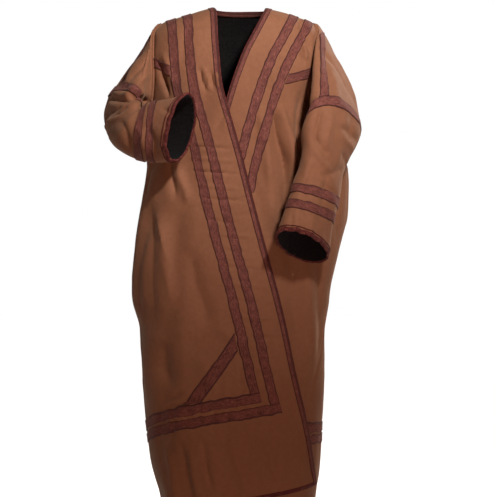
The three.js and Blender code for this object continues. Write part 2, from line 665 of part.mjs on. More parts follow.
// ---------- the coat ----------
const SPARE = { right: 10, left: 7 };
const frontRight = frontPanel({
  side: -1,
  halfAngle: RIGHT_ARMHOLE_HALF_ANGLE,
  layerLift: overlapLift,
  edgeX: rightEdgeX,
  edgeColumn: 'rightEdge',
  seamAt: () => -90,
  spareColumns: SPARE.right,
});
const frontLeft = frontPanel({
  side: 1,
  halfAngle: LEFT_ARMHOLE_HALF_ANGLE,
  layerLift: noLift,
  edgeX: leftEdgeX,
  edgeColumn: 'leftEdge',
  seamAt: leftSeamAngle,
  spareColumns: SPARE.left,
});
const back = backPanel();
const sleeveRight = sleevePanel(-1, RIGHT_ARMHOLE_HALF_ANGLE, RIGHT_SLEEVE_RINGS);
const sleeveLeft = sleevePanel(1, LEFT_ARMHOLE_HALF_ANGLE, LEFT_SLEEVE_RINGS);
const aroundArm = { closedColumns: true };

addWall('front_right', frontRight, CLOTH);
addWall('front_left', frontLeft, CLOTH);
addWall('back', back, CLOTH);
addWall('sleeve_right', sleeveRight, CLOTH, -HALF_WALL, HALF_WALL, aroundArm);
addWall('sleeve_left', sleeveLeft, CLOTH, -HALF_WALL, HALF_WALL, aroundArm);

const row = Object.fromEntries(SKIRT_ROWS.map(({ name }) => [name, rowNamed(name)]));
const lastOf = (grid) => grid.length - 1;

// Pile lining, only as deep into each cuff as it shows.
function addCuffLining(name, sleeve, firstRing, lastRing) {
  const rings = part(sleeve, [firstRing, lastRing], [0, RING_POINTS - 1]);
  const top = -HALF_WALL - SEAM_GAP;
  addWall(name, parted(rings, { last: true }), PILE, top - PILE_THICKNESS, top, aroundArm);
}
addCuffLining('cuff_lining_right', sleeveRight, RIGHT_RING.upperBraidFoot, RIGHT_RING.cuffFold);
addCuffLining('cuff_lining_left', sleeveLeft, LEFT_RING.lowerBraidTop, LEFT_RING.cuffFold);

// Edging down both front edges, over the shoulder seam and round the back neck.
function addFrontEdging(name, panel) {
  const points = transpose(panel.points);
  const normals = transpose(panel.normals);
  const { edge, edging } = COLUMN;
  const stations = stationsAlong(points, normals, edge, edging, 0, row.hem);
  addEdging(name, stations, BRAID, { edgeFirst: true });
}
addFrontEdging('edging_front_right', frontRight);
addFrontEdging('edging_front_left', frontLeft);

// At each shoulder seam the neck's edging points straight across, as the front's does.
const neckStations = stationsAlong(
  back.points, back.normals, 0, 1, SHOULDER_COLUMNS, BACK_COLUMNS - SHOULDER_COLUMNS,
);
neckStations[0].pastFrom = back.points[0][SHOULDER_COLUMNS - 1];
neckStations[lastOf(neckStations)].pastFrom = back.points[0][BACK_COLUMNS - SHOULDER_COLUMNS + 1];
addEdging('edging_neck_back', neckStations, BRAID, { edgeFirst: true });

// Piping round the hem. On the fronts it starts beside the front edging.
function addHemPiping(name, panel, firstColumn) {
  const columns = lastOf(panel.points[0]);
  const start = { edge: row.hem, inner: row.hemFold };
  const stations = stationsAlong(
    panel.points, panel.normals, start.edge, start.inner, firstColumn, columns,
  );
  if (firstColumn > 0) {
    const [own, next] = stations;
    const share = SEAM_GAP / own.edge.distanceTo(next.edge);
    stations[0] = {
      ...own,
      edge: own.edge.clone().lerp(next.edge, share),
      inner: own.inner.clone().lerp(next.inner, share),
    };
  }
  addEdging(name, stations, PIPING, { edgeFirst: false });
}
addHemPiping('piping_hem_front_right', frontRight, COLUMN.edging);
addHemPiping('piping_hem_front_left', frontLeft, COLUMN.edging);
addHemPiping('piping_hem_back', back, 0);

function addCuffPiping(name, sleeve, ring) {
  const { points, normals } = sleeve;
  const stations = stationsAlong(points, normals, ring.cuff, ring.cuffFold, 0, RING_POINTS - 1);
  addEdging(name, stations, PIPING, { edgeFirst: false, closedRows: true });
}
addCuffPiping('piping_cuff_right', sleeveRight, RIGHT_RING);
addCuffPiping('piping_cuff_left', sleeveLeft, LEFT_RING);

// Two braids down each front. The right front's end at the skirt braids, which they turn into.
const LEFT_BRAID_END = row.belly;
function addFrontBraid(name, panel, column, lastRow) {
  const braid = part(panel, [0, lastRow], [column, column + 1]);
  addBraid(name, parted(braid, { last: true }));
}
addFrontBraid('braid_inner_front_right', frontRight, COLUMN.innerBraid, row.lowerBraidTop);
addFrontBraid('braid_outer_front_right', frontRight, COLUMN.outerBraid, row.upperBraidTop);
addFrontBraid('braid_inner_front_left', frontLeft, COLUMN.innerBraid, LEFT_BRAID_END);
addFrontBraid('braid_outer_front_left', frontLeft, COLUMN.outerBraid, LEFT_BRAID_END);

// Two braids round the skirt.
const SKIRT_BRAIDS = [
  { name: 'upper', rows: [row.upperBraidTop, row.upperBraidFoot], frontColumn: COLUMN.outerBraid },
  { name: 'lower', rows: [row.lowerBraidTop, row.lowerBraidFoot], frontColumn: COLUMN.innerBraid },
];
for (const { name, rows, frontColumn } of SKIRT_BRAIDS) {
  const front = part(frontRight, rows, [frontColumn, lastOf(frontRight.points[0])]);
  addBraid(`braid_skirt_${name}_front_right`, front);
  addBraid(`braid_skirt_${name}_back`, part(back, rows, [0, BACK_COLUMNS]));
}

// Braids round the sleeves, and one down each sleeve's crest to the upper arm's braid.
const CREST_END_GAP = 0.02; // rows between the crest's braid and the arm's
function addSleeveBraids(side, sleeve, ring, crestPath) {
  const wholeRing = [0, RING_POINTS - 1];
  const around = [
    { name: 'arm', rows: [ring.armBraidTop, ring.armBraidFoot] },
    { name: 'forearm_upper', rows: [ring.upperBraidTop, ring.upperBraidFoot] },
    { name: 'forearm_lower', rows: [ring.lowerBraidTop, ring.lowerBraidFoot] },
  ];
  for (const { name, rows } of around) {
    addBraid(`braid_${name}_${side}`, part(sleeve, rows, wholeRing), aroundArm);
  }
  const places = crestPlaces(ring, crestPath);
  const end = lastOf(places);
  places[end] = places[end].map(([atRow, atColumn]) => [atRow - CREST_END_GAP, atColumn]);
  addStrip(`braid_crest_${side}`, sleeve, places, STRIP_LIFT.crest);
}
addSleeveBraids('right', sleeveRight, RIGHT_RING, [
  { ring: 'capTop', middle: 9, half: 6 },
  { ring: 'capMiddle', middle: 9, half: 7 },
  { ring: 'capFoot', middle: 9, half: 8 },
  { ring: 'armBraidTop', middle: 9, half: 9 },
]);
addSleeveBraids('left', sleeveLeft, LEFT_RING, [
  { ring: 'capTop', middle: 14, half: 6 },
  { ring: 'capMiddle', middle: 29, half: 7 },
  { ring: 'capFoot', middle: 48, half: 8 },
  { ring: 'upperArm', middle: 65, half: 9 },
  { ring: 'armBraidTop', middle: 87, half: 10 },
]);

// Short braids from the outer front braid to the armhole, and the slanting one on the skirt.
const STRIP_START = COLUMN.outerBraidEnd + 0.1;
addStrip('braid_chest_right', frontRight, crossingPlaces(
  frontRight,
  { column: STRIP_START, top: -171, foot: -204 },
  { column: lastOf(frontRight.points[0]) - 0.1, top: -143, foot: -174 },
), STRIP_LIFT.chest);
addStrip('braid_chest_left', frontLeft, crossingPlaces(
  frontLeft,
  { column: STRIP_START, top: -197, foot: -227 },
  { column: lastOf(frontLeft.points[0]) - 0.1, top: -173, foot: -203 },
), STRIP_LIFT.chest);
addStrip('braid_slant_right', frontRight, crossingPlaces(
  frontRight,
  { column: STRIP_START, top: -942, foot: -994 },
  { column: COLUMN.outerBraidEnd + 5.3, top: -1166, foot: -1218 },
  row.upperBraidTop - 0.02,
), STRIP_LIFT.slant);

export default group;
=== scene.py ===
"""The looks of a farwa: a long wrap coat of brown wool with woven maroon braid.

Each piece is a thin shell on the form of its CAD solid, with its creases, trim and sewing.
Tables are in millimetres, as in the CAD source; meshes are in metres. +X is the wearer's left,
+Y the wearer's back and +Z up. The origin is midway between the shoulders.
"""

import math

import bpy
import numpy as np
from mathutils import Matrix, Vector


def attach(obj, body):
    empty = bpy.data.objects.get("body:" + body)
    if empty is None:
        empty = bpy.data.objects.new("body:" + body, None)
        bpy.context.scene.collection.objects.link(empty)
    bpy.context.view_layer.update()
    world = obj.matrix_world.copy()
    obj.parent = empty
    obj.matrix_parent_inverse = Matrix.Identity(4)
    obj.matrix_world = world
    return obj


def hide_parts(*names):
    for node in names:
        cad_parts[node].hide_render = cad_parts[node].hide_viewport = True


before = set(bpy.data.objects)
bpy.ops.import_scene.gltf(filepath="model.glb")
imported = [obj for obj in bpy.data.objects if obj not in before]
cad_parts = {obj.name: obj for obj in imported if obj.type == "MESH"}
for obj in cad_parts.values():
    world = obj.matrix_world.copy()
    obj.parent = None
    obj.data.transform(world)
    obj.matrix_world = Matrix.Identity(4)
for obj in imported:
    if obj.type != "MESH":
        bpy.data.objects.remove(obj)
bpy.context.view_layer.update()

MM = 0.001

# ---------- driving sizes ----------
HALF_WALL = 2.0  # half of the outer cloth with its pile
SEAM_GAP = 0.3
BRAID_WIDTH = 29.0
BRAID_THICKNESS = 1.6
EDGING_WIDTH = 14.0
PILE_THICKNESS = 3.0
INNER_BRAID_START = 66.0  # along the cloth from the front edge
OUTER_BRAID_START = 115.0
OUTER_BRAID_END = OUTER_BRAID_START + BRAID_WIDTH
OVERLAP_LIFT = 11.0
OVERLAP_RAMP = 60.0
OVERLAP_MARGIN = 12.0
SHOULDER_DROP = 46.0
UNDERARM_DROP = 350.0
ARMHOLE_HALF_ANGLE = {"right": 25.0, "left": 30.0}
ARMHOLE_ROWS = 12
BACK_NECK_SCOOP = 8.0
BACK_HEM_DROP = 1488.0
CLOTH_STEP = 5.0  # spacing of a shell's points


def table(columns, rows):
    """Rows of numbers as named columns."""
    return dict(zip(columns.split(), np.array(rows, float).T))


BODY_SECTIONS = table(
    "z centre_x half_width half_depth squareness",
    [
        (0, 0, 80, 70, 0),
        (-15, -2, 137, 80, 0),
        (-30, -5, 181, 90, 0),
        (-46, -8, 222, 100, 0),
        (-80, -12, 247, 116, 0.01),
        (-150, -15, 254, 126, 0.02),
        (-250, -14, 257, 131, 0.02),
        (-350, -9, 263, 134, 0.02),
        (-400, -2, 273, 135, 0.02),
        (-470, 17, 288, 138, 0.02),
        (-575, 8, 295, 143, 0.02),
        (-675, -6, 298, 148, 0.02),
        (-850, -27, 286, 156, 0.02),
        (-940, -21, 266, 160, 0.02),
        (-1080, -18, 263, 162, 0.02),
        (-1255, -14, 250, 160, 0.02),
        (-1343, -11, 241, 156, 0.02),
        (-1421, -7, 226, 152, 0.02),
        (-1500, -3, 212, 147, 0.02),
    ],
)
FRONT_EDGE = {
    "right": table(
        "z x",
        [
            (0, -80), (-12, -73), (-96, -68), (-220, -55), (-348, -22), (-429, 1), (-560, 33),
            (-734, 78), (-850, 108), (-1067, 154), (-1227, 188), (-1380, 210),
        ],
    ),
    "left": table(
        "z x",
        [
            (0, 80), (-12, 75), (-70, 46), (-125, 17), (-183, -6), (-223, -20), (-357, -58),
            (-531, -101), (-705, -122), (-995, -145), (-1480, -162),
        ],
    ),
}
LEFT_SIDE_SEAM = table("z angle", [(-350, 90), (-800, 90), (-937, 79), (-1151, 51), (-1488, 34)])

# Levels of the panels' rows. The first thirteen run from the shoulder to the underarm.
NECK_LEVELS = [0, -4, -12, -30, -60, -98, -140, -184, -226, -264, -298, -326, -350]
SKIRT_ROWS = {
    "waist": (-440, -440, -450),
    "belly": (-530, -535, -552),
    "hip": (-622, -630, -655),
    "seat": (-716, -728, -760),
    "thigh": (-810, -830, -868),
    "low_thigh": (-905, -940, -980),
    "knee": (-998, -1055, -1092),
    "upper_braid_top": (-1090, -1180, -1203),
    "upper_braid_foot": (-1119, -1209, -1232),
    "lower_braid_top": (-1131, -1216, -1238),
    "lower_braid_foot": (-1160, -1245, -1267),
    "shin": (-1265, -1345, -1370),
    "hem_fold": (-1370, -1450, -1478),
    "hem": (-1380, -1460, -1488),
}
SKIRT_LEVELS = dict(zip(("right", "left", "side"), zip(*SKIRT_ROWS.values())))
ROW = {name: ARMHOLE_ROWS + 1 + i for i, name in enumerate(SKIRT_ROWS)}

BODY_FOLDS = table(
    "top_angle top_z foot_angle foot_z half_width height",
    [
        (62, -170, 50, -640, 75, -34), (27, -300, 35, -560, 34, 9), (19, -310, 25, -620, 30, -8),
        (-62, -260, -50, -500, 70, -16), (-44, -455, -34, -640, 34, 8), (-53, -590, -38, -930, 48, 9),
        (-65, -540, -64, -960, 42, -9), (-50, -960, -47, -1150, 60, -12),
        (-62, -1270, -50, -1500, 36, 7), (-38, -1270, -32, -1500, 34, -7),
        (106, -330, 103, -720, 60, 20), (132, -300, 126, -1180, 52, -13),
        (152, -420, 150, -1500, 50, 12), (173, -260, 170, -1300, 54, -12),
        (-166, -380, -168, -1500, 50, 13), (-146, -330, -142, -1250, 52, -12),
        (-122, -450, -120, -1500, 50, 11),
    ],
)
FOLD_FADE = 110.0

# Sleeve rings: name, crest (outer side), under (inner side), front. x, y, z.
SLEEVE_RINGS = {
    "left": [
        ("cap_top", (244, -4, -73), (259, -10, -342), (218, -91, -189)),
        ("cap_middle", (259, -11, -110), (249, -43, -339), (211, -118, -200)),
        ("cap_foot", (284, -27, -162), (240, -76, -336), (211, -147, -217)),
        ("upper_arm", (311, -52, -226), (227, -106, -338), (217, -173, -237)),
        ("arm_braid_top", (336, -78, -312), (211, -131, -346), (236, -192, -266)),
        ("arm_braid_foot", (342, -88, -342), (191, -147, -362), (240, -200, -294)),
        ("above_elbow", (334, -106, -385), (177, -160, -388), (238, -212, -340)),
        ("elbow", (315, -122, -430), (178, -176, -428), (236, -222, -392)),
        ("below_elbow", (296, -136, -482), (170, -188, -474), (226, -234, -446)),
        ("upper_braid_top", (284, -150, -556), (152, -200, -522), (208, -246, -522)),
        ("upper_braid_foot", (277, -156, -586), (146, -206, -548), (203, -251, -550)),
        ("lower_braid_top", (273, -159, -602), (139, -210, -564), (198, -255, -568)),
        ("lower_braid_foot", (265, -164, -630), (131, -216, -590), (192, -260, -595)),
        ("cuff_fold", (253, -180, -705), (107, -234, -664), (172, -280, -645)),
        ("cuff", (251, -182, -714), (104, -236, -673), (170, -283, -653)),
    ],
    "right": [
        ("cap_top", (-258, -2, -80), (-282, -5, -339), (-268, -81, -191)),
        ("cap_middle", (-286, -8, -130), (-287, -22, -325), (-275, -98, -205)),
        ("cap_foot", (-322, -14, -182), (-291, -39, -312), (-286, -116, -226)),
        ("arm_braid_top", (-352, -22, -226), (-294, -58, -303), (-298, -132, -238)),
        ("arm_braid_foot", (-373, -30, -254), (-295, -76, -299), (-305, -141, -255)),
        ("elbow_top", (-388, -44, -305), (-293, -93, -299), (-316, -155, -284)),
        ("elbow", (-386, -62, -353), (-288, -110, -300), (-323, -169, -312)),
        ("elbow_foot", (-363, -92, -402), (-279, -127, -299), (-325, -190, -342)),
        ("upper_braid_top", (-298, -130, -440), (-270, -143, -293), (-298, -208, -363)),
        ("upper_braid_foot", (-272, -146, -447), (-262, -156, -285), (-276, -221, -364)),
        ("lower_braid_top", (-262, -153, -449), (-253, -164, -283), (-267, -226, -364)),
        ("lower_braid_foot", (-240, -168, -452), (-233, -180, -280), (-248, -236, -363)),
        ("cuff_fold", (-193, -204, -451), (-158, -230, -263), (-212, -267, -360)),
        ("cuff", (-186, -210, -450), (-150, -237, -260), (-204, -273, -359)),
    ],
}


# ---------- curves and small maths ----------
def curve_through(along, values):
    """A smooth curve through points that never overshoots them."""
    order = np.argsort(along)
    along, values = np.asarray(along, float)[order], np.asarray(values, float)[order]
    secant = np.diff(values) / np.diff(along)
    slope = np.concatenate([secant[:1], np.zeros(len(along) - 2), secant[-1:]])
    before, after = secant[:-1], secant[1:]
    rising = before * after > 0
    slope[1:-1][rising] = (2 * before * after)[rising] / (before + after)[rising]

    def at(place):
        place = np.clip(place, along[0], along[-1])
        i = np.clip(np.searchsorted(along, place) - 1, 0, len(along) - 2)
        span = along[i + 1] - along[i]
        t = (place - along[i]) / span
        rise = values[i + 1] - values[i]
        bend = (slope[i] + slope[i + 1]) * span - 2 * rise
        return values[i] + t * (slope[i] * span + t * (rise - slope[i] * span - bend + t * bend))

    return at


def mix(a, b, t):
    return a + (b - a) * t


def smooth(value):
    t = np.clip(value, 0, 1)
    return t * t * (3 - 2 * t)


def unit(vectors):
    return vectors / np.maximum(np.linalg.norm(vectors, axis=-1, keepdims=True), 1e-9)


def arc(points, axis):
    """Distance along the rows or columns of a grid, from its first line."""
    steps = np.linalg.norm(np.diff(points, axis=axis), axis=-1)
    start = np.zeros_like(np.take(steps, [0], axis=axis))
    return np.concatenate([start, np.cumsum(steps, axis=axis)], axis=axis)


def ripples(points, seed, wavelength, waves=14):
    """Soft unevenness of about unit height: a sum of seeded sine waves through space."""
    rng = np.random.default_rng(seed)
    directions = unit(rng.normal(size=(waves, 3)))
    pitches = 2 * np.pi / (wavelength * rng.uniform(0.6, 1.7, waves))
    phases = rng.uniform(0, 2 * np.pi, waves)
    waved = np.sin(points @ (directions * pitches[:, None]).T + phases)
    return waved.sum(axis=-1) / math.sqrt(waves / 2) / 2


section = {
    name: curve_through(BODY_SECTIONS["z"], values)
    for name, values in BODY_SECTIONS.items()
    if name != "z"
}
edge_x = {side: curve_through(edge["z"], edge["x"]) for side, edge in FRONT_EDGE.items()}
left_seam_angle = curve_through(LEFT_SIDE_SEAM["z"], LEFT_SIDE_SEAM["angle"])


# ---------- the body's surface ----------
def section_point(angle, z):
    turn = np.radians(angle)
    square = section["squareness"](z)
    across = (np.sin(turn) + square * np.sin(3 * turn)) / (1 - square)
    forward = (np.cos(turn) - square * np.cos(3 * turn)) / (1 - square)
    x = section["centre_x"](z) + section["half_width"](z) * across
    y = -section["half_depth"](z) * forward
    return np.stack(np.broadcast_arrays(x, y, z), axis=-1)


def angle_at(x, z):
    """The front angle at which the plain section reaches x."""
    x, z = np.broadcast_arrays(np.asarray(x, float), np.asarray(z, float))
    low, high = np.full(x.shape, -90.0), np.full(x.shape, 90.0)
    for _ in range(30):
        middle = (low + high) / 2
        short = section_point(middle, z)[..., 0] < x
        low, high = np.where(short, middle, low), np.where(short, high, middle)
    return (low + high) / 2


def fold_lift(angle, z):
    radius = (section["half_width"](z) + section["half_depth"](z)) / 2
    lift = np.zeros(np.broadcast(angle, z).shape)
    for top_angle, top_z, foot_angle, foot_z, half_width, height in zip(*BODY_FOLDS.values()):
        middle = mix(top_angle, foot_angle, (top_z - z) / (top_z - foot_z))
        turn = (angle - middle + 180) % 360 - 180
        side = np.radians(turn) * radius / half_width
        fade = smooth((top_z - z) / FOLD_FADE)
        if foot_z > -BACK_HEM_DROP:
            fade = fade * smooth((z - foot_z) / FOLD_FADE)
        lift += height * np.exp(-side * side) * fade
    return lift


def cloth_point(angle, z, lapped):
    """A point of the cloth's middle surface. lapped lifts the right front over the left."""
    point = section_point(angle, z)
    turn = np.radians(angle)
    across = np.sin(turn) * section["half_depth"](z)
    forward = -np.cos(turn) * section["half_width"](z)
    out = unit(np.stack(np.broadcast_arrays(across, forward, 0.0), axis=-1))
    lift = fold_lift(angle, z)
    if lapped:
        past = point[..., 0] - edge_x["left"](z) + OVERLAP_RAMP + OVERLAP_MARGIN
        lift = lift + OVERLAP_LIFT * smooth(past / OVERLAP_RAMP)
    return point + out * lift[..., None]


def armhole_place(side, half_angle, turn):
    """Angle and level on the armhole, an oval. turn is 0 at the shoulder, 180 underarm."""
    middle = -(SHOULDER_DROP + UNDERARM_DROP) / 2
    half_height = (UNDERARM_DROP - SHOULDER_DROP) / 2
    angle = side * (90 - half_angle * np.sin(np.radians(turn)))
    return angle, middle + half_height * np.cos(np.radians(turn))


# ---------- creases ----------
CREASE = {"gain": 1.9, "sharpness": 1.6, "turn": 2.5}  # turn: how soon it ends round a side
CREASE_RIM = {"height": 0.3, "reach": 2.3}  # the cloth beside a trough stands up a little
CREASE_ENDS = {"start": 0.3, "end": 0.35, "lead": 0.2, "past": 0.07}
WAVER = {"share": 0.12, "turns": 9}  # no crease is quite straight
FACING = {"front": (1, -1), "back": (1, 1), "left": (0, 1), "right": (0, -1)}  # axis and sign


def crease_depth(points, normals, creases):
    """Height of the creases at the points, along their normals.

    Each is a soft trough (minus) or ridge, drawn on the side that it is seen from: its two ends
    in that side's own view, its half width and its depth. It fades towards its ends.
    """
    height = np.zeros(points.shape[:-1])
    for view, drawn in creases.items():
        axis, sign = FACING[view]
        seen = smooth(normals[..., axis] * sign * CREASE["turn"])
        flat = np.stack([points[..., 0 if axis else 1], points[..., 2]], axis=-1)
        for x0, z0, x1, z1, half_width, depth in drawn:
            start = np.array([x0, z0], float)
            along = np.array([x1, z1], float) - start
            length = np.hypot(*along)
            place = flat - start
            t = place @ along / length**2
            off = (place[..., 0] * along[1] - place[..., 1] * along[0]) / length
            off = off + WAVER["share"] * half_width * np.sin(WAVER["turns"] * t + x0)
            lead, past = CREASE_ENDS["lead"], CREASE_ENDS["past"]
            runs = smooth(t / CREASE_ENDS["start"] + lead)
            runs = runs * smooth((1 - t) / CREASE_ENDS["end"] + lead)
            runs = runs * ((t > -past) & (t < 1 + past))
            near = np.exp(-(np.abs(off / half_width) ** CREASE["sharpness"]))
            rim = np.exp(-((off / (CREASE_RIM["reach"] * half_width)) ** 2))
            shape = near - CREASE_RIM["height"] * rim
            height += CREASE["gain"] * depth * shape * runs * seen
    return height


# ---------- panels ----------
BODY_MIDDLE = [0, 0, -600]  # inside the coat: a body panel's normals turn away from it


class Panel:
    """A grid of middle points and outward normals, with how to find places between them."""

    def __init__(self, points, rows, columns, closed=False):
        self.rows, self.columns, self.closed = rows, columns, closed
        self.lay(points)

    def lay(self, points):
        """Takes the points, and finds their outward normals by differences along the grid."""
        down = np.gradient(points, axis=0)
        if self.closed:
            across = np.roll(points, -1, axis=1) - np.roll(points, 1, axis=1)
            axis = points.mean(axis=1, keepdims=True)
        else:
            across = np.gradient(points, axis=1)
            axis = BODY_MIDDLE
        normals = unit(np.cross(across, down))
        turned_in = (normals * (points - axis)).sum() < 0
        self.points, self.normals = points, -normals if turned_in else normals

    def press(self, height):
        """Moves the points out by height."""
        self.lay(self.points + self.normals * height[..., None])

    def at(self, row, column):
        """Points and normals at fractional places, given in the table's rows and columns."""
        row, column = np.broadcast_arrays(np.asarray(row, float), np.asarray(column, float))
        i = np.interp(row, self.rows, np.arange(len(self.rows)))
        count = self.points.shape[1]
        if self.closed:
            j = column % 360 / 360 * count
        else:
            j = np.interp(column, self.columns, np.arange(count))
        i0 = np.minimum(i.astype(int), len(self.rows) - 2)
        j0 = j.astype(int) if self.closed else np.minimum(j.astype(int), count - 2)
        s, t = (i - i0)[..., None], (j - j0)[..., None]
        j0, j1 = j0 % count, (j0 + 1) % count

        def blend(grid):
            top = mix(grid[i0, j0], grid[i0, j1], t)
            return mix(top, mix(grid[i0 + 1, j0], grid[i0 + 1, j1], t), s)

        return blend(self.points), unit(blend(self.normals))


ROW_SAMPLES = 40  # to each of the table's rows


def even_rows(levels, step):
    """Fractional row numbers, so that the levels between them are evenly spaced."""
    count = int(abs(levels[-1] - levels[0]) / step)
    wanted = np.linspace(levels[0], levels[-1], count + 1)
    fine = np.linspace(0, len(levels) - 1, ROW_SAMPLES * len(levels))
    curve = curve_through(np.arange(len(levels)), levels)(fine)
    return np.interp(-wanted, -curve, fine)


LINE_SAMPLES = 160  # along a row, to measure it


def along_rows(start, end, wanted, lapped):
    """Points of rows at the wanted distances from their front edges."""

    def line(t):
        angle = mix(start[0][:, None], end[0][:, None], t)
        return cloth_point(angle, mix(start[1][:, None], end[1][:, None], t), lapped)

    t = np.linspace(0, 1, LINE_SAMPLES + 1)
    lengths = arc(line(t), 1)
    return line(np.stack([np.interp(wanted(whole[-1]), whole, t) for whole in lengths]))


BAND_COLUMNS = 24  # columns of a front from its edge to the outer braid's far side
SPARE_COLUMNS = {"right": 66, "left": 52}
CAD_SPARE_COLUMNS = {"right": 10, "left": 7}
ARMHOLE_TURNS = 180 * np.arange(ARMHOLE_ROWS + 1) / ARMHOLE_ROWS
SIDE_LEVELS = np.array([*armhole_place(1, 0, ARMHOLE_TURNS)[1], *SKIRT_LEVELS["side"]], float)


def front_panel(side_name):
    side = -1 if side_name == "right" else 1
    edge_levels = np.array([*NECK_LEVELS, *SKIRT_LEVELS[side_name]], float)
    rows = even_rows((edge_levels + SIDE_LEVELS) / 2, CLOTH_STEP)
    index = np.arange(len(edge_levels))
    edge_z = curve_through(index, edge_levels)(rows)
    turn = np.minimum(180 * rows / ARMHOLE_ROWS, 180)
    arm_angle, arm_z = armhole_place(side, ARMHOLE_HALF_ANGLE[side_name], turn)
    beside_arm = rows <= ARMHOLE_ROWS
    side_z = np.where(beside_arm, arm_z, curve_through(index, SIDE_LEVELS)(rows))
    seam_angle = left_seam_angle(side_z) if side > 0 else -90.0
    side_angle = np.where(beside_arm, arm_angle, seam_angle)
    start_angle = angle_at(edge_x[side_name](edge_z), edge_z)
    start_angle[0] = side_angle[0]
    spare = SPARE_COLUMNS[side_name]
    bands = np.linspace(0, OUTER_BRAID_END, BAND_COLUMNS + 1)

    def wanted(whole):
        return np.concatenate([bands, np.linspace(OUTER_BRAID_END, whole, spare + 1)[1:]])

    points = along_rows((start_angle, edge_z), (side_angle, side_z), wanted, side < 0)
    past = OUTER_BRAID_END + np.linspace(0, CAD_SPARE_COLUMNS[side_name], spare + 1)[1:]
    return Panel(points, rows, np.concatenate([bands, past]))


BACK_COLUMNS = 22
SHOULDER_COLUMNS = 6
BACK_GRID_COLUMNS = 150


def back_top(column):
    """Angle and level of the back's top edge: a shoulder, the back neck and a shoulder."""
    from_end = np.minimum(column, BACK_COLUMNS - column)
    shoulder_z = -SHOULDER_DROP * (1 - from_end / SHOULDER_COLUMNS)
    t = np.clip((column - SHOULDER_COLUMNS) / (BACK_COLUMNS - 2 * SHOULDER_COLUMNS), 0, 1)
    neck_z = -BACK_NECK_SCOOP * np.sin(np.pi * t)
    return mix(270, 90, t), np.where(from_end <= SHOULDER_COLUMNS, shoulder_z, neck_z)


def back_panel():
    rows = even_rows(SIDE_LEVELS, CLOTH_STEP)
    side_z = curve_through(np.arange(len(SIDE_LEVELS)), SIDE_LEVELS)(rows)
    turn = np.minimum(180 * rows / ARMHOLE_ROWS, 180)
    right_angle, arm_z = armhole_place(-1, -ARMHOLE_HALF_ANGLE["right"], turn)
    left_angle, _ = armhole_place(1, -ARMHOLE_HALF_ANGLE["left"], turn)
    beside_arm = rows <= ARMHOLE_ROWS
    z = np.where(beside_arm, arm_z, side_z)
    start = np.where(beside_arm, 360 + right_angle, 270.0)
    end = np.where(beside_arm, left_angle, left_seam_angle(side_z))
    neck_share = np.where(beside_arm, (1 - rows / ARMHOLE_ROWS) ** 2, 0)[:, None]
    columns = np.linspace(0, BACK_COLUMNS, BACK_GRID_COLUMNS + 1)
    t = columns / BACK_COLUMNS
    top_angle, top_z = back_top(columns)
    angle = mix(start[:, None], end[:, None], t) + neck_share * (top_angle - mix(270, 90, t))
    level = z[:, None] + neck_share * (top_z + SHOULDER_DROP)
    return Panel(cloth_point(angle, level, False), rows, columns)


# ---------- sleeves ----------
SLEEVE_COLUMNS = 168
SLEEVE_STEP = 3.5
SEAM_TURN = {"inset": 0.975, "height": 6.0, "tuck": 8.0}  # the cloth turns out inside the armhole
RING_ROW = {
    side: {ring[0]: i for i, ring in enumerate(rings)} for side, rings in SLEEVE_RINGS.items()
}


def sleeve_panel(side_name):
    """Rows are numbered as the rings are, and the seam is row -2, with its allowance at -3.
    Columns are degrees from the crest."""
    side = -1 if side_name == "right" else 1
    turn = 360 * np.arange(SLEEVE_COLUMNS) / SLEEVE_COLUMNS
    half_angle = ARMHOLE_HALF_ANGLE[side_name]
    seam = cloth_point(*armhole_place(side, half_angle, turn), False)
    turned = cloth_point(*armhole_place(side, half_angle * SEAM_TURN["inset"], turn), False)
    turned = turned + [side * SEAM_TURN["height"], 0, 0]
    tucked = seam - [side * SEAM_TURN["tuck"], 0, 0]
    rings = [tucked, seam, turned]
    for _, *corners in SLEEVE_RINGS[side_name]:
        crest, under, front = np.array(corners, float)
        centre = (crest + under) / 2
        swing = np.radians(turn)[:, None]
        rings.append(
            centre + (crest - centre) * np.cos(swing) + (front - centre) * np.sin(swing)
        )
    rings = np.array(rings)
    chords = np.linalg.norm(np.diff(rings, axis=0), axis=-1).mean(axis=1)
    along = np.concatenate([[0], np.cumsum(chords)])
    fine = np.linspace(0, along[-1], int(along[-1] / SLEEVE_STEP) + 1)
    points = np.stack(
        [
            np.stack([curve_through(along, rings[:, j, k])(fine) for k in range(3)], axis=-1)
            for j in range(SLEEVE_COLUMNS)
        ],
        axis=1,
    )
    rows = np.interp(fine, along, np.arange(len(rings)) - 3)
    return Panel(points, rows, turn, closed=True)


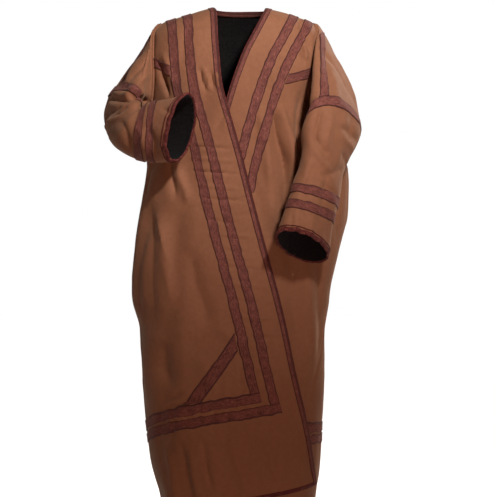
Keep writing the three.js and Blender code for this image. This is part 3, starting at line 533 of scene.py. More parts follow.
# ---------- creases, listed one by one ---
# From and to as seen in the view, half width, depth (minus is a trough).
CREASES = {
    "front_right": {
        "front": [
            (-119, -176, -98, -252, 6, -4.5), (-102, -180, -86, -248, 6, 4),
            (-88, -186, -72, -244, 5, -4.2), (-66, -190, -56, -240, 5, 3.2),
            (-240, -150, -205, -262, 9, -5), (-223, -196, -203, -268, 6, -3),
            (-222, -130, -186, -236, 10, 3.5), (-150, -60, -166, -170, 14, -2.5),
            (-30, -300, -52, -372, 9, 2.5), (-12, -286, -70, -345, 7, -2.2),
            (-232, -600, -197, -864, 20, 8), (-180, -467, -145, -574, 16, 6.5),
            (-206, -440, -186, -560, 12, -6), (-258, -560, -250, -937, 18, -6),
            (-226, -966, -205, -1111, 26, -7), (-218, -1163, -128, -1131, 9, -6),
            (-205, -1190, -150, -1172, 8, 3), (-209, -1270, -180, -1430, 12, 6),
            (-170, -1255, -140, -1420, 11, -5.5), (-145, -1270, -116, -1430, 11, 5),
            (-107, -1247, -81, -1400, 10, -5), (-30, -1230, 20, -1410, 14, 4.5),
            (60, -1215, 110, -1370, 14, -4), (-101, -618, 0, -628, 5, -1.8),
            (-64, -704, 29, -712, 5, -1.8), (-48, -727, 46, -731, 4, 1.2),
            (-26, -850, 58, -858, 5, -1.8), (-20, -560, 38, -552, 5, -1.6),
            (-20, -612, 34, -598, 4, -1.5), (70, -996, 136, -1052, 6, -1.6),
            (96, -1062, 150, -1078, 5, -1.8), (40, -880, 86, -846, 6, 1.5),
            (-238, -606, -196, -775, 6, 3), (-190, -1000, -120, -960, 20, -3),
            (-232, -1140, -160, -1118, 12, -6), (-40, -1040, -44, -1150, 10, 2.2),
            (0, -1010, 4, -1140, 9, -2), (-75, -930, 60, -990, 22, 4.5), (-150, -700, -90, -930, 24, -6),
            (-120, -1010, -60, -1130, 20, 3),
        ],
        "right": [
            (-60, -420, -30, -560, 16, -4), (-90, -640, -70, -900, 18, 4),
        ],
    },
    "front_left": {
        "front": [
            (170, -36, 206, -140, 8, -7), (184, -84, 190, -160, 6, 4), (176, -96, 184, -170, 5, -4),
            (172, -250, 166, -520, 10, -10), (88, -290, 130, -480, 15, -12),
            (124, -430, 136, -620, 15, -9), (60, -300, 96, -530, 13, 6), (116, -280, 166, -470, 12, 7),
            (60, -360, 100, -640, 14, 3.5), (20, -420, 70, -650, 14, -3), (90, -160, 120, -290, 16, 2.5),
            (130, -640, 170, -980, 22, -5), (190, -660, 210, -1050, 20, 5),
            (226, -700, 236, -1150, 16, -5), (216, -1100, 225, -1400, 16, -4),
            (236, -1120, 226, -1440, 14, 4),
        ],
        "left": [
            (-70, -420, -50, -700, 18, -4),
        ],
    },
    "back": {
        "back": [
            (-205, -120, -196, -250, 10, -3), (196, -110, 204, -240, 10, -3),
            (-190, -300, -90, -430, 14, -4.5), (195, -310, 90, -450, 14, -4.5),
            (-200, -360, -120, -500, 12, 3), (205, -370, 128, -520, 12, 3),
            (-120, -560, 100, -585, 30, -3.5), (-80, -622, 130, -640, 26, 2.5),
            (-62, -250, -58, -1350, 26, -6), (92, -420, 112, -1488, 28, 6),
            (-148, -500, -128, -1400, 22, -6), (172, -350, 190, -1100, 20, -6),
            (20, -700, 34, -1488, 24, -5), (-216, -620, -196, -1488, 20, 5),
            (-20, -90, -16, -330, 24, 3), (60, -980, 84, -1488, 20, 4),
        ],
        "left": [
            (20, -420, 10, -760, 20, -6), (70, -460, 56, -900, 18, 5), (-10, -900, -20, -1400, 18, -5),
            (100, -700, 92, -1300, 18, -5),
        ],
        "right": [
            (30, -420, 20, -800, 18, -5), (80, -500, 70, -1000, 18, 5), (20, -860, 10, -1400, 18, 4),
            (60, -1000, 52, -1450, 16, -4),
        ],
    },
    "sleeve_right": {
        "front": [
            (-383, -264, -304, -284, 8, -6), (-380, -246, -300, -262, 9, 4),
            (-371, -313, -336, -290, 6, -4), (-357, -322, -319, -293, 6, -4),
            (-390, -340, -330, -316, 8, 3), (-302, -258, -261, -278, 9, -5),
            (-320, -264, -262, -277, 10, -14), (-322, -242, -270, -254, 8, 4),
            (-270, -150, -350, -262, 9, -5), (-262, -190, -330, -272, 9, 4),
            (-264, -110, -290, -241, 12, -4), (-290, -125, -333, -235, 12, 3.5),
            (-312, -150, -352, -236, 9, -3), (-261, -342, -232, -438, 9, -3),
            (-290, -350, -262, -446, 10, 3), (-340, -330, -300, -440, 12, -4),
            (-222, -300, -180, -330, 9, -2.5), (-230, -400, -188, -420, 9, 2.5),
        ],
        "right": [
            (-40, -120, -30, -260, 12, -4), (10, -130, -10, -280, 12, 3.5),
            (-110, -300, -20, -330, 10, -5), (-130, -350, -50, -372, 9, -4),
            (-120, -330, -30, -352, 9, 3),
        ],
        "back": [
            (-330, -180, -290, -290, 12, -4), (-380, -290, -310, -330, 10, -5),
            (-380, -330, -300, -380, 10, 4), (-300, -360, -200, -390, 10, -3),
        ],
    },
    "sleeve_left": {
        "front": [
            (261, -183, 284, -299, 14, 4), (238, -120, 262, -250, 12, -4),
            (232, -299, 209, -415, 12, -6), (262, -300, 244, -420, 12, 4),
            (330, -300, 300, -420, 12, -3), (318, -360, 268, -470, 12, 2.5),
            (215, -380, 250, -440, 9, -3), (208, -420, 262, -486, 10, 2.5),
            (299, -470, 226, -498, 10, -2.5), (203, -444, 174, -531, 12, 4),
            (246, -487, 226, -632, 10, -3.5), (186, -500, 176, -640, 10, -3),
            (270, -520, 256, -700, 12, 3), (206, -600, 196, -700, 9, 3), (150, -600, 140, -680, 8, -2.5),
        ],
        "left": [
            (-60, -120, -80, -260, 14, -4), (-20, -130, -40, -300, 14, 4),
            (-190, -350, -90, -392, 12, -4), (-180, -420, -110, -470, 12, -3.5),
            (-180, -380, -100, -424, 11, 3), (-230, -520, -170, -560, 12, -3),
        ],
        "back": [
            (300, -180, 270, -330, 14, -4), (320, -340, 230, -390, 10, -5),
            (310, -420, 220, -450, 10, -4), (270, -480, 240, -660, 12, 3.5),
        ],
    },
}
# Small puckers across the right front's braids, where they are sewn on: level and depth.
BRAID_PUCKERS = [
    (-415, -1.6), (-450, 1.4), (-488, -2.0), (-530, 1.2), (-566, -1.8), (-668, 1.5), (-762, -1.2),
    (-812, 1.4), (-905, 1.3), (-960, -1.6), (-1010, 1.4), (-1060, -1.8),
]
BRAID_PUCKER = {"from": 158.0, "to": 12.0, "fall": 12.0, "half_width": 4.5, "gain": 1.5}
for z, depth in BRAID_PUCKERS:
    edge = float(edge_x["right"](z))
    ends = (edge - BRAID_PUCKER["from"], z + BRAID_PUCKER["fall"], edge - BRAID_PUCKER["to"], z)
    crease = (*ends, BRAID_PUCKER["half_width"], BRAID_PUCKER["gain"] * depth)
    CREASES["front_right"]["front"].append(crease)
# The skirt braids draw the cloth in too, in short folds that run down from them: x and depth.
SKIRT_PUCKERS = [
    (-222, -2.2), (-204, 1.8), (-186, -2.6), (-166, 1.6), (-150, -2.0), (-128, 2.0), (-112, -2.8),
    (-88, 1.6), (-70, -2.0), (-46, 1.8), (-28, -2.4), (-6, 1.6), (16, -2.2), (42, 1.8), (62, -2.6),
    (84, 1.4),
]
SKIRT_PUCKER = {"top": -1116.0, "rise": 0.18, "length": 104.0, "lean": 5.0, "half_width": 5.5}
SKIRT_PUCKER_EXTRA = 13.0  # deeper ones run on further
for x, depth in SKIRT_PUCKERS:
    top = SKIRT_PUCKER["top"] + SKIRT_PUCKER["rise"] * x
    foot = top - SKIRT_PUCKER["length"] - SKIRT_PUCKER_EXTRA * abs(depth)
    ends = (x, top, x + SKIRT_PUCKER["lean"] * depth, foot)
    CREASES["front_right"]["front"].append((*ends, SKIRT_PUCKER["half_width"], depth))

UNEVENNESS = {"wavelength": 150.0, "height": 1.8, "fine": 0.5}  # what hand-laid cloth never lacks
SEAM_DIP = {"depth": 1.3, "below_arm": 1.6, "reach": 5.0}
ARMHOLE_DIP = {"depth": 3.5, "reach": 7.0}  # the front sinks towards the armhole seam
SEAM_STILL = 22.0  # creases die out this close to a seam
PUCKERS = {"every": 13.0, "height": 0.9, "reach": 26.0}  # small gathers below an armhole seam
PUCKER_STRAY = {"turn": 1.3, "length": 31.0}
UNEVEN_SEED = 7


def seam_distance(panel, name):
    down, across = arc(panel.points, 0), arc(panel.points, 1)
    if panel.closed:
        return down
    near = np.minimum(across[:, -1:] - across, down)
    return np.minimum(near, across) if name == "back" else near


def shape_cloth(name, panel):
    """Presses the creases, the unevenness and the drawn-in seams into a piece."""
    points, seam = panel.points, seam_distance(panel, name)
    height = crease_depth(points, panel.normals, CREASES[name]) * smooth(seam / SEAM_STILL)
    height += UNEVENNESS["height"] * ripples(points, UNEVEN_SEED, UNEVENNESS["wavelength"])
    fine = ripples(points, UNEVEN_SEED + 1, UNEVENNESS["wavelength"] / 3)
    height += UNEVENNESS["fine"] * fine
    dip = SEAM_DIP["depth"]
    if not panel.closed:
        dip = dip + SEAM_DIP["below_arm"] * smooth(panel.rows - ARMHOLE_ROWS)[:, None]
    height -= dip * np.exp(-((seam / SEAM_DIP["reach"]) ** 2))
    if name != "back" and not panel.closed:
        beside_arm = smooth((ARMHOLE_ROWS - panel.rows)[:, None])
        side = arc(points, 1)
        side = side[:, -1:] - side
        height -= ARMHOLE_DIP["depth"] * beside_arm * np.exp(-side / ARMHOLE_DIP["reach"])
    if panel.closed:
        round_arm = arc(points[:1], 1)
        stray = PUCKER_STRAY["turn"] * np.sin(round_arm / PUCKER_STRAY["length"])
        waves = np.sin(2 * np.pi * round_arm / PUCKERS["every"] + stray)
        height += PUCKERS["height"] * waves * np.exp(-seam / PUCKERS["reach"])
    panel.press(height)


panels = {
    "front_right": front_panel("right"),
    "front_left": front_panel("left"),
    "back": back_panel(),
    "sleeve_right": sleeve_panel("right"),
    "sleeve_left": sleeve_panel("left"),
}
for panel_name, each_panel in panels.items():
    shape_cloth(panel_name, each_panel)


# ---------- materials ----------
class Shader:
    """A principled material, and short ways to add nodes to it."""

    def __init__(self, name, roughness, sheen=0.0, sheen_tint=(1, 1, 1), specular=0.3):
        self.material = bpy.data.materials.new(name)
        self.material.use_nodes = True
        self.tree = self.material.node_tree
        self.surface = self.tree.nodes["Principled BSDF"]
        self.surface.inputs["Roughness"].default_value = roughness
        self.surface.inputs["Specular IOR Level"].default_value = specular
        self.surface.inputs["Sheen Weight"].default_value = sheen
        self.surface.inputs["Sheen Roughness"].default_value = 0.5
        self.surface.inputs["Sheen Tint"].default_value = (*sheen_tint, 1)
        self.height = None

    def node(self, kind, inputs=(), **settings):
        made = self.tree.nodes.new(kind)
        for key, value in settings.items():
            setattr(made, key, value)
        for key, value in dict(inputs).items():
            if isinstance(value, bpy.types.NodeSocket):
                self.tree.links.new(value, made.inputs[key])
            else:
                made.inputs[key].default_value = value
        return made

    def math(self, operation, a, b=0.0):
        return self.node("ShaderNodeMath", {0: a, 1: b}, operation=operation).outputs[0]

    def times(self, a, b):
        return self.math("MULTIPLY", a, b)

    def plus(self, a, b):
        return self.math("ADD", a, b)

    def wave(self, value, pitch):
        """A sine wave from 0 to 1 that repeats every pitch of value."""
        turned = self.math("SINE", self.times(value, 2 * math.pi / pitch))
        return self.plus(self.times(turned, 0.5), 0.5)

    def noise(self, where, scale, detail=3.0, roughness=0.6):
        inputs = {"Vector": where, "Scale": scale, "Detail": detail, "Roughness": roughness}
        return self.node("ShaderNodeTexNoise", inputs).outputs["Fac"]

    def between(self, value, low, high):
        """0 where value is below low, 1 above high, and a smooth step between them."""
        inputs = {0: value, 1: low, 2: high}
        return self.node("ShaderNodeMapRange", inputs, interpolation_type="SMOOTHSTEP").outputs[0]

    def blend(self, share, a, b):
        made = self.node("ShaderNodeMix", {0: share}, data_type="RGBA")
        for key, value in ((6, a), (7, b)):
            if isinstance(value, bpy.types.NodeSocket):
                self.tree.links.new(value, made.inputs[key])
            else:
                made.inputs[key].default_value = (*value, 1)
        return made.outputs[2]

    def colour(self, socket):
        self.tree.links.new(socket, self.surface.inputs["Base Color"])

    def bump(self, height, distance, strength=1.0):
        inputs = {"Height": height, "Distance": distance, "Strength": strength}
        if self.height:
            inputs["Normal"] = self.height
        self.height = self.node("ShaderNodeBump", inputs).outputs[0]
        self.tree.links.new(self.height, self.surface.inputs["Normal"])

    def place(self, kind="Object"):
        return self.node("ShaderNodeTexCoord").outputs[kind]

    def uv(self):
        split = self.node("ShaderNodeSeparateXYZ", {0: self.place("UV")})
        return split.outputs[0], split.outputs[1]


WOOL = {"light": (0.250, 0.106, 0.055), "mid": (0.198, 0.080, 0.039), "dark": (0.098, 0.034, 0.015)}
TWILL_PITCH = 0.0026


def wool():
    """Twill with a short nap, a little worn in places."""
    shader = Shader("brown_wool", 0.76, sheen=0.12, sheen_tint=(1.0, 0.74, 0.52), specular=0.22)
    place = shader.place()
    worn = shader.between(shader.noise(place, 3.0, 1.0), 0.25, 0.80)
    nap = shader.between(shader.noise(place, 70.0, 4.0, 0.7), 0.30, 0.72)
    fibre = shader.noise(place, 620.0, 2.0, 0.7)
    tone = shader.blend(worn, WOOL["mid"], WOOL["light"])
    tone = shader.blend(shader.times(nap, 0.20), tone, WOOL["dark"])
    twill = shader.wave(shader.plus(*shader.uv()), TWILL_PITCH)
    line = shader.times(shader.times(twill, fibre), 0.30)
    shader.colour(shader.blend(line, tone, WOOL["dark"]))
    shader.bump(twill, 0.0003, 0.5)
    shader.bump(nap, 0.0012, 0.35)
    shader.bump(fibre, 0.0005, 0.5)
    return shader.material


# The light colour is for the painted glints on the braid.
BRAID = {"light": (0.310, 0.122, 0.090), "mid": (0.172, 0.053, 0.040), "dark": (0.044, 0.012, 0.010)}
BRAID_REPEAT = 0.0105  # of the woven lozenges along the braid
RIB_PITCH = 0.0017
STREAKS = {"across": 9.0, "along": 55.0}  # the warp threads show as streaks along the braid


def braid(name, stitched):
    """Woven braid: small broken lozenges and streaks between two dark selvedges. They begin at
    stitched, a share of the width from the middle."""
    shader = Shader(name, 0.8, sheen=0.10, sheen_tint=(1.0, 0.6, 0.5), specular=0.2)
    place = shader.place()
    across = shader.node("ShaderNodeAttribute", attribute_name="across").outputs["Fac"]
    _, along = shader.uv()
    centred = shader.math("ABSOLUTE", shader.math("SUBTRACT", across, 0.5))
    repeats = shader.times(along, 1 / BRAID_REPEAT)
    zig = shader.math("PINGPONG", shader.plus(repeats, centred), 0.5)
    zag = shader.math("PINGPONG", shader.math("SUBTRACT", repeats, centred), 0.5)
    lozenge = shader.between(shader.times(zig, zag), 0.02, 0.16)
    lengthwise = {0: shader.times(across, STREAKS["across"]), 1: shader.times(along, STREAKS["along"])}
    streak_place = shader.node("ShaderNodeCombineXYZ", lengthwise).outputs[0]
    streak = shader.between(shader.noise(streak_place, 1.0, 3.0, 0.7), 0.34, 0.66)
    patch = shader.between(shader.noise(place, 42.0, 3.0, 0.7), 0.30, 0.70)
    broken = shader.plus(shader.times(streak, 0.6), shader.times(patch, 0.4))
    both = shader.plus(shader.times(lozenge, 0.12), broken)
    share = shader.plus(shader.times(both, 0.80), 0.14)
    tone = shader.blend(share, BRAID["dark"], BRAID["mid"])
    # painted highlights: pale glints in the colour along the streaks
    glint = shader.between(shader.noise(place, 330.0, 2.0, 0.8), 0.54, 0.70)
    tone = shader.blend(shader.times(glint, streak), tone, BRAID["light"])
    selvedge = shader.between(centred, stitched, stitched + 0.05)
    shader.colour(shader.blend(shader.times(selvedge, 0.9), tone, BRAID["dark"]))
    shader.bump(share, 0.0007, 0.5)
    shader.bump(shader.wave(along, RIB_PITCH), 0.0003, 0.5)
    return shader.material


# The pale colour is for the painted highlights on the cord's twist.
PIPING = {"light": (0.300, 0.085, 0.062), "mid": (0.105, 0.019, 0.016), "dark": (0.030, 0.006, 0.006)}
TWIST_PITCH = 0.0042


def piping(name, painted_highlight_share):
    """Corded piping with painted highlights, paler patches on the crests of its twist. The last argument
    says how much of them shows.
    """
    shader = Shader(name, 0.75, specular=0.15)
    across, along = shader.uv()
    twist = shader.wave(shader.plus(shader.times(across, 0.5), along), TWIST_PITCH)
    patch = shader.between(shader.noise(shader.place(), 95.0, 3.0, 0.7), 0.45, 0.62)
    tone = shader.blend(twist, PIPING["dark"], PIPING["mid"])
    # painted highlight: paler colour on the twist's crests, where the cord would catch the light
    lit = shader.times(shader.times(patch, twist), painted_highlight_share)
    shader.colour(shader.blend(lit, tone, PIPING["light"]))
    shader.bump(twist, 0.0009, 0.8)
    return shader.material


PILE = {"dark": (0.003, 0.003, 0.003), "light": (0.016, 0.013, 0.013)}


def pile():
    shader = Shader("black_pile", 0.95, sheen=0.04, sheen_tint=(0.5, 0.5, 0.55), specular=0.05)
    tuft = shader.noise(shader.place(), 260.0, 5.0, 0.8)
    shader.colour(shader.blend(shader.between(tuft, 0.3, 0.75), PILE["dark"], PILE["light"]))
    shader.bump(tuft, 0.004, 0.9)
    return shader.material


WOOL_CLOTH = wool()
WOVEN_BRAID = braid("maroon_braid", 0.36)
WOVEN_EDGING = braid("maroon_edging", 0.30)
# Both pipings carry painted highlights, more of them on the cuffs.
DARK_PIPING = piping("dark_red_piping", 0.35)
CUFF_PIPING = piping("cuff_piping", 0.6)
BLACK_PILE = pile()


# ---------- meshes ----------
def new_object(name, vertices, faces, materials, uv, period=None, face_slots=None, across=None):
    """uv is in mm. period says which way and at what length it wraps; then all faces are quads."""
    mesh = bpy.data.meshes.new(name)
    mesh.from_pydata((np.asarray(vertices) * MM).tolist(), [], faces)
    obj = bpy.data.objects.new(name, mesh)
    bpy.context.scene.collection.objects.link(obj)
    for each in materials:
        mesh.materials.append(each)
    if face_slots is not None:
        mesh.polygons.foreach_set("material_index", face_slots)
    corners = np.empty(len(mesh.loops), np.int32)
    mesh.loops.foreach_get("vertex_index", corners)
    places = np.asarray(uv, float)[corners]
    if period is not None:
        axis, length = period
        run = places[:, axis].reshape(-1, 4)
        wrapped = np.ptp(run, axis=1, keepdims=True) > length / 2
        places[:, axis] = np.where(wrapped & (run < length / 2), run + length, run).ravel()
    layer = mesh.uv_layers.new(name="cloth")
    layer.data.foreach_set("uv", (places * MM).astype(np.float32).ravel())
    if across is not None:
        spread = mesh.attributes.new("across", "FLOAT", "POINT")
        spread.data.foreach_set("value", np.asarray(across, np.float32))
    mesh.polygons.foreach_set("use_smooth", np.ones(len(mesh.polygons), bool))
    mesh.set_sharp_from_angle(angle=math.radians(55))
    return obj


def grid_faces(rows, columns, closed_rows=False, closed_columns=False):
    i = np.arange(rows if closed_rows else rows - 1)[:, None]
    j = np.arange(columns if closed_columns else columns - 1)[None, :]
    below, beside = (i + 1) % rows * columns, (j + 1) % columns
    here = i * columns
    corners = np.broadcast_arrays(here + j, below + j, below + beside, here + beside)
    return np.stack(corners, axis=-1).reshape(-1, 4)


def shell(
    name, outer, inner, materials, uv, period=None, across=None,
    closed_rows=False, closed_columns=False, bare_rows=0,
):
    """A wall between two grids of points. A second material is for its inner face, after
    bare_rows."""
    rows, columns = outer.shape[:2]
    count = rows * columns
    top = grid_faces(rows, columns, closed_rows, closed_columns)
    rims = []
    if not closed_columns:
        rims += [np.arange(rows) * columns, np.arange(rows)[::-1] * columns + columns - 1]
    if not closed_rows:
        rims += [np.arange(columns)[::-1], np.arange(columns) + (rows - 1) * columns]
    sides = []
    for rim in rims:
        if closed_rows or closed_columns:
            rim = np.append(rim, rim[0])
        sides.append(np.stack([rim[:-1], rim[:-1] + count, rim[1:] + count, rim[1:]], axis=-1))
    faces = [top, top[:, ::-1] + count, *sides]
    down, side = outer[1:, :-1] - outer[:-1, :-1], outer[:-1, 1:] - outer[:-1, :-1]
    if (np.cross(down, side) * (outer - inner)[:-1, :-1]).sum() < 0:
        faces = [part[:, ::-1] for part in faces]
    slots = None
    if len(materials) > 1:
        slots = np.repeat([0, 1] + [0] * len(sides), [len(part) for part in faces])
        slots[len(top) : len(top) + bare_rows * columns] = 0
        slots = slots.astype(np.int32)
    vertices = np.concatenate([outer.reshape(-1, 3), inner.reshape(-1, 3)])
    both_uv = np.concatenate([uv.reshape(-1, 2)] * 2)
    both_across = None if across is None else np.tile(across.ravel(), 2)
    faces = np.concatenate(faces).tolist()
    return new_object(name, vertices, faces, materials, both_uv, period, slots, both_across)


def tube(name, grid, materials, uv, closed=False, across=None):
    """A long closed form from loops of points: axis 0 runs along it, axis 1 round it."""
    rows, columns = grid.shape[:2]
    faces = grid_faces(rows, columns, closed, True)
    corner = grid.reshape(-1, 3)[faces]
    centre = grid.mean(axis=1, keepdims=True)
    outward = (grid - centre).reshape(-1, 3)[faces[:, 0]]
    normal = np.cross(corner[:, 1] - corner[:, 0], corner[:, 3] - corner[:, 0])
    caps = [np.arange(columns)[::-1], np.arange(columns) + (rows - 1) * columns]
    if (normal * outward).sum() < 0:
        faces = faces[:, ::-1]
        caps = [cap[::-1] for cap in caps]
    faces = faces.tolist() + ([] if closed else [cap.tolist() for cap in caps])
    spread = None if across is None else across.ravel()
    return new_object(name, grid.reshape(-1, 3), faces, materials, uv.reshape(-1, 2), across=spread)


# ---------- the pieces ----------
def finish_piece(obj, slot, *nodes):
    """Hangs a piece on the body. A cord or rope stands for no node of the CAD."""
    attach(obj, "root")
    if nodes:
        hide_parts(*nodes)
    return obj


UV_WAVES = 4  # round a sleeve


def sideways(points, closed):
    """uv of a panel: distance across it and down it, in mm. Also how it wraps."""
    down = arc(points, 0)
    if not closed:
        return np.stack([arc(points, 1), down], axis=-1), None
    loop = np.concatenate([points, points[:, :1]], axis=1)
    girth = arc(loop, 1)[:, -1].mean()
    waves = np.fft.rfft(down, axis=1)
    waves[:, UV_WAVES:] = 0  # the weave runs straight through the small puckers
    down = np.fft.irfft(waves, points.shape[1], axis=1)
    share = np.arange(points.shape[1]) / points.shape[1]
    across = np.broadcast_to(girth * share, down.shape)
    return np.stack([across, down], axis=-1), (0, girth)


# The inner face is wool as far as this below an armhole, where it crosses the outer one.
SEAM_BARE_ROWS = 18


def cloth_wall(name):
    panel = panels[name]
    outer = panel.points + HALF_WALL * panel.normals
    inner = panel.points - HALF_WALL * panel.normals
    uv, period = sideways(panel.points, panel.closed)
    bare = SEAM_BARE_ROWS if panel.closed else 0
    looks = [WOOL_CLOTH, BLACK_PILE]
    wall = shell(
        f"wool_{name}", outer, inner, looks, uv, period, closed_columns=panel.closed, bare_rows=bare
    )
    return finish_piece(wall, "cloth", name)


cloth = {name: cloth_wall(name) for name in panels}

RIBBON_ACROSS = np.array([0, 0.02, 0.06, 0.11, 0.16, 0.3, 0.5, 0.7, 0.84, 0.89, 0.94, 0.98, 1])
RIBBON_SINK = 0.6  # its back lies this deep in the wool
RIBBON_WAVE = {"out": 0.35, "aside": 1.4, "length": 30.0}
SKIRT_RAGGED = 1.7  # the skirt braids are sewn on less evenly
RIBBON_RIDGE = {"at": 0.40, "reach": 0.055, "height": 0.7}  # the stitched selvedge


def ribbon(node, panel, rows, columns, lift=SEAM_GAP, closed=False, ragged=1.0):
    """A woven braid on a panel. rows and columns are grids: along the braid, then across.
    A sewn braid waves a little, out from the cloth and along it."""
    rows, columns = np.broadcast_arrays(rows, columns)
    points, normals = panel.at(rows, columns)
    off = np.abs(RIBBON_ACROSS - 0.5)
    ridge = np.exp(-(((off - RIBBON_RIDGE["at"]) / RIBBON_RIDGE["reach"]) ** 2))
    rounded = np.sqrt(np.clip(1 - (2 * off) ** 12, 0, 1))
    height = BRAID_THICKNESS * rounded + RIBBON_RIDGE["height"] * ridge
    lay = RIBBON_WAVE["out"] * ripples(points, len(node), RIBBON_WAVE["length"])
    sway = ragged * RIBBON_WAVE["aside"] * ripples(points, len(node) + 1, RIBBON_WAVE["length"])
    points = points + unit(points[:, -1:] - points[:, :1]) * sway[..., None]
    outer = points + normals * (HALF_WALL + lift + height + np.maximum(lay, -lift))[..., None]
    inner = points + normals * (HALF_WALL - RIBBON_SINK)
    uv = np.stack([arc(points, 1), arc(points, 0)], axis=-1)
    across = np.broadcast_to(RIBBON_ACROSS, rows.shape)
    made = shell(f"trim_{node}", outer, inner, [WOVEN_BRAID], uv, None, across, closed_rows=closed)
    return finish_piece(made, "braid", node)


def lines_between(lines, first, last):
    """The first place, the panel's own rows or columns after it, and the last place."""
    inside = lines[(lines > first + 1e-3) & (lines < last - 1e-3)]
    return np.concatenate([[first], inside, [last]])[:, None]


def braid_down(node, panel, first_row, last_row, column):
    rows = lines_between(panel.rows, first_row, last_row)
    return ribbon(node, panel, rows, column + BRAID_WIDTH * RIBBON_ACROSS)


def braid_round(node, panel, top_row, foot_row, first_column=0):
    """Closed round a sleeve; on a body panel, from first_column to the last."""
    columns = panel.columns[:, None]
    if not panel.closed:
        columns = lines_between(panel.columns, first_column, panel.columns[-1])
    rows = mix(top_row, foot_row, RIBBON_ACROSS)
    ragged = 1.0 if panel.closed else SKIRT_RAGGED
    return ribbon(node, panel, rows, columns, closed=panel.closed, ragged=ragged)


def rows_at(panel, column, levels):
    """The rows at which a column of a body panel is at these levels."""
    known = panel.at(panel.rows, np.full(len(panel.rows), column))[0][:, 2]
    return np.interp(-levels, -known, panel.rows)


SHORT_BRAID_LINES = 60
SHORT_BRAID_LIFT = 0.6


def braid_between(node, panel, start, end, last_row=None):
    """A braid between two stations, each a column and the levels of its two edges."""
    share = np.linspace(0, 1, SHORT_BRAID_LINES)
    columns, tops, feet = (mix(start[key], end[key], share) for key in ("column", "top", "foot"))
    stations = zip(columns, tops, feet)
    rows = [rows_at(panel, column, mix(top, foot, RIBBON_ACROSS)) for column, top, foot in stations]
    rows = np.array(rows)
    if last_row is not None:
        rows = np.minimum(rows, last_row)
    return ribbon(node, panel, rows, columns[:, None], lift=SHORT_BRAID_LIFT)


trims = {name: [] for name in panels}
LEFT_BRAID_END = ROW["belly"]
BRAID_END = {
    "front_right": {"inner": ROW["lower_braid_top"], "outer": ROW["upper_braid_top"]},
    "front_left": {"inner": LEFT_BRAID_END, "outer": LEFT_BRAID_END},
}
for front, ends in BRAID_END.items():
    panel = panels[front]
    for which, column in (("inner", INNER_BRAID_START), ("outer", OUTER_BRAID_START)):
        node = f"braid_{which}_{front}"
        trims[front].append(braid_down(node, panel, 0, ends[which], column))

SKIRT_BRAIDS = {"upper": OUTER_BRAID_START, "lower": INNER_BRAID_START}
for level, corner_column in SKIRT_BRAIDS.items():
    rows = [ROW[f"{level}_braid_top"], ROW[f"{level}_braid_foot"]]
    node = f"braid_skirt_{level}"
    made = braid_round(f"{node}_front_right", panels["front_right"], *rows, corner_column)
    trims["front_right"].append(made)
    trims["back"].append(braid_round(f"{node}_back", panels["back"], *rows))

BESIDE_BRAID = 0.1  # columns of clear cloth beside a braid's end
CHEST_BRAIDS = {
    "front_right": {"start": (-171, -204), "end": (-143, -174)},
    "front_left": {"start": (-197, -227), "end": (-173, -203)},
}
for front, levels in CHEST_BRAIDS.items():
    panel = panels[front]
    start = dict(zip(("top", "foot"), levels["start"]), column=OUTER_BRAID_END + BESIDE_BRAID)
    end = dict(zip(("top", "foot"), levels["end"]), column=panel.columns[-1] - BESIDE_BRAID)
    node = front.replace("front", "braid_chest")
    trims[front].append(braid_between(node, panel, start, end))

SLANT_COLUMNS = 5.3
panel = panels["front_right"]
start = {"top": -942, "foot": -994, "column": OUTER_BRAID_END + BESIDE_BRAID}
end = {"top": -1166, "foot": -1218, "column": OUTER_BRAID_END + SLANT_COLUMNS}
made = braid_between("braid_slant_right", panel, start, end, ROW["upper_braid_top"])
trims["front_right"].append(made)

ARM_BRAIDS = {
    "braid_arm": "arm_braid",
    "braid_forearm_upper": "upper_braid",
    "braid_forearm_lower": "lower_braid",
}
for side_name, ring_row in RING_ROW.items():
    sleeve = f"sleeve_{side_name}"
    for node, level in ARM_BRAIDS.items():
        rows = [ring_row[f"{level}_top"], ring_row[f"{level}_foot"]]
        trims[sleeve].append(braid_round(f"{node}_{side_name}", panels[sleeve], *rows))

# The crest braid runs from the armhole to the arm braid; its middle is in degrees.
CREST_BRAIDS = {
    "right": {"cap_top": 9, "cap_middle": 9, "cap_foot": 9, "arm_braid_top": 9},
    "left": {"cap_top": 14, "cap_middle": 29, "cap_foot": 48, "upper_arm": 65, "arm_braid_top": 87},
}
CREST_EASE = {  # the braid is eased wider where the cap turns away: by row, from the cap's top
    "right": curve_through([0, 3], [1.0, 1.0]),
    "left": curve_through([0, 1, 4], [1.5, 1.45, 1.15]),
}
CREST_LIFT = 1.2
for side_name, stations in CREST_BRAIDS.items():
    panel = panels[f"sleeve_{side_name}"]
    at_rows = [RING_ROW[side_name][ring] for ring in stations]
    rows = np.linspace(0, at_rows[-1], SHORT_BRAID_LINES)
    middle = curve_through(at_rows, list(stations.values()))(rows)
    chords = panel.at(rows, middle + 1)[0] - panel.at(rows, middle - 1)[0]
    degree = np.linalg.norm(chords, axis=-1) / 2
    half = BRAID_WIDTH / 2 * CREST_EASE[side_name](rows) / degree
    columns = middle[:, None] + half[:, None] * (2 * RIBBON_ACROSS - 1)
    made = ribbon(f"braid_crest_{side_name}", panel, rows[:, None], columns, lift=CREST_LIFT)
    trims[f"sleeve_{side_name}"].append(made)

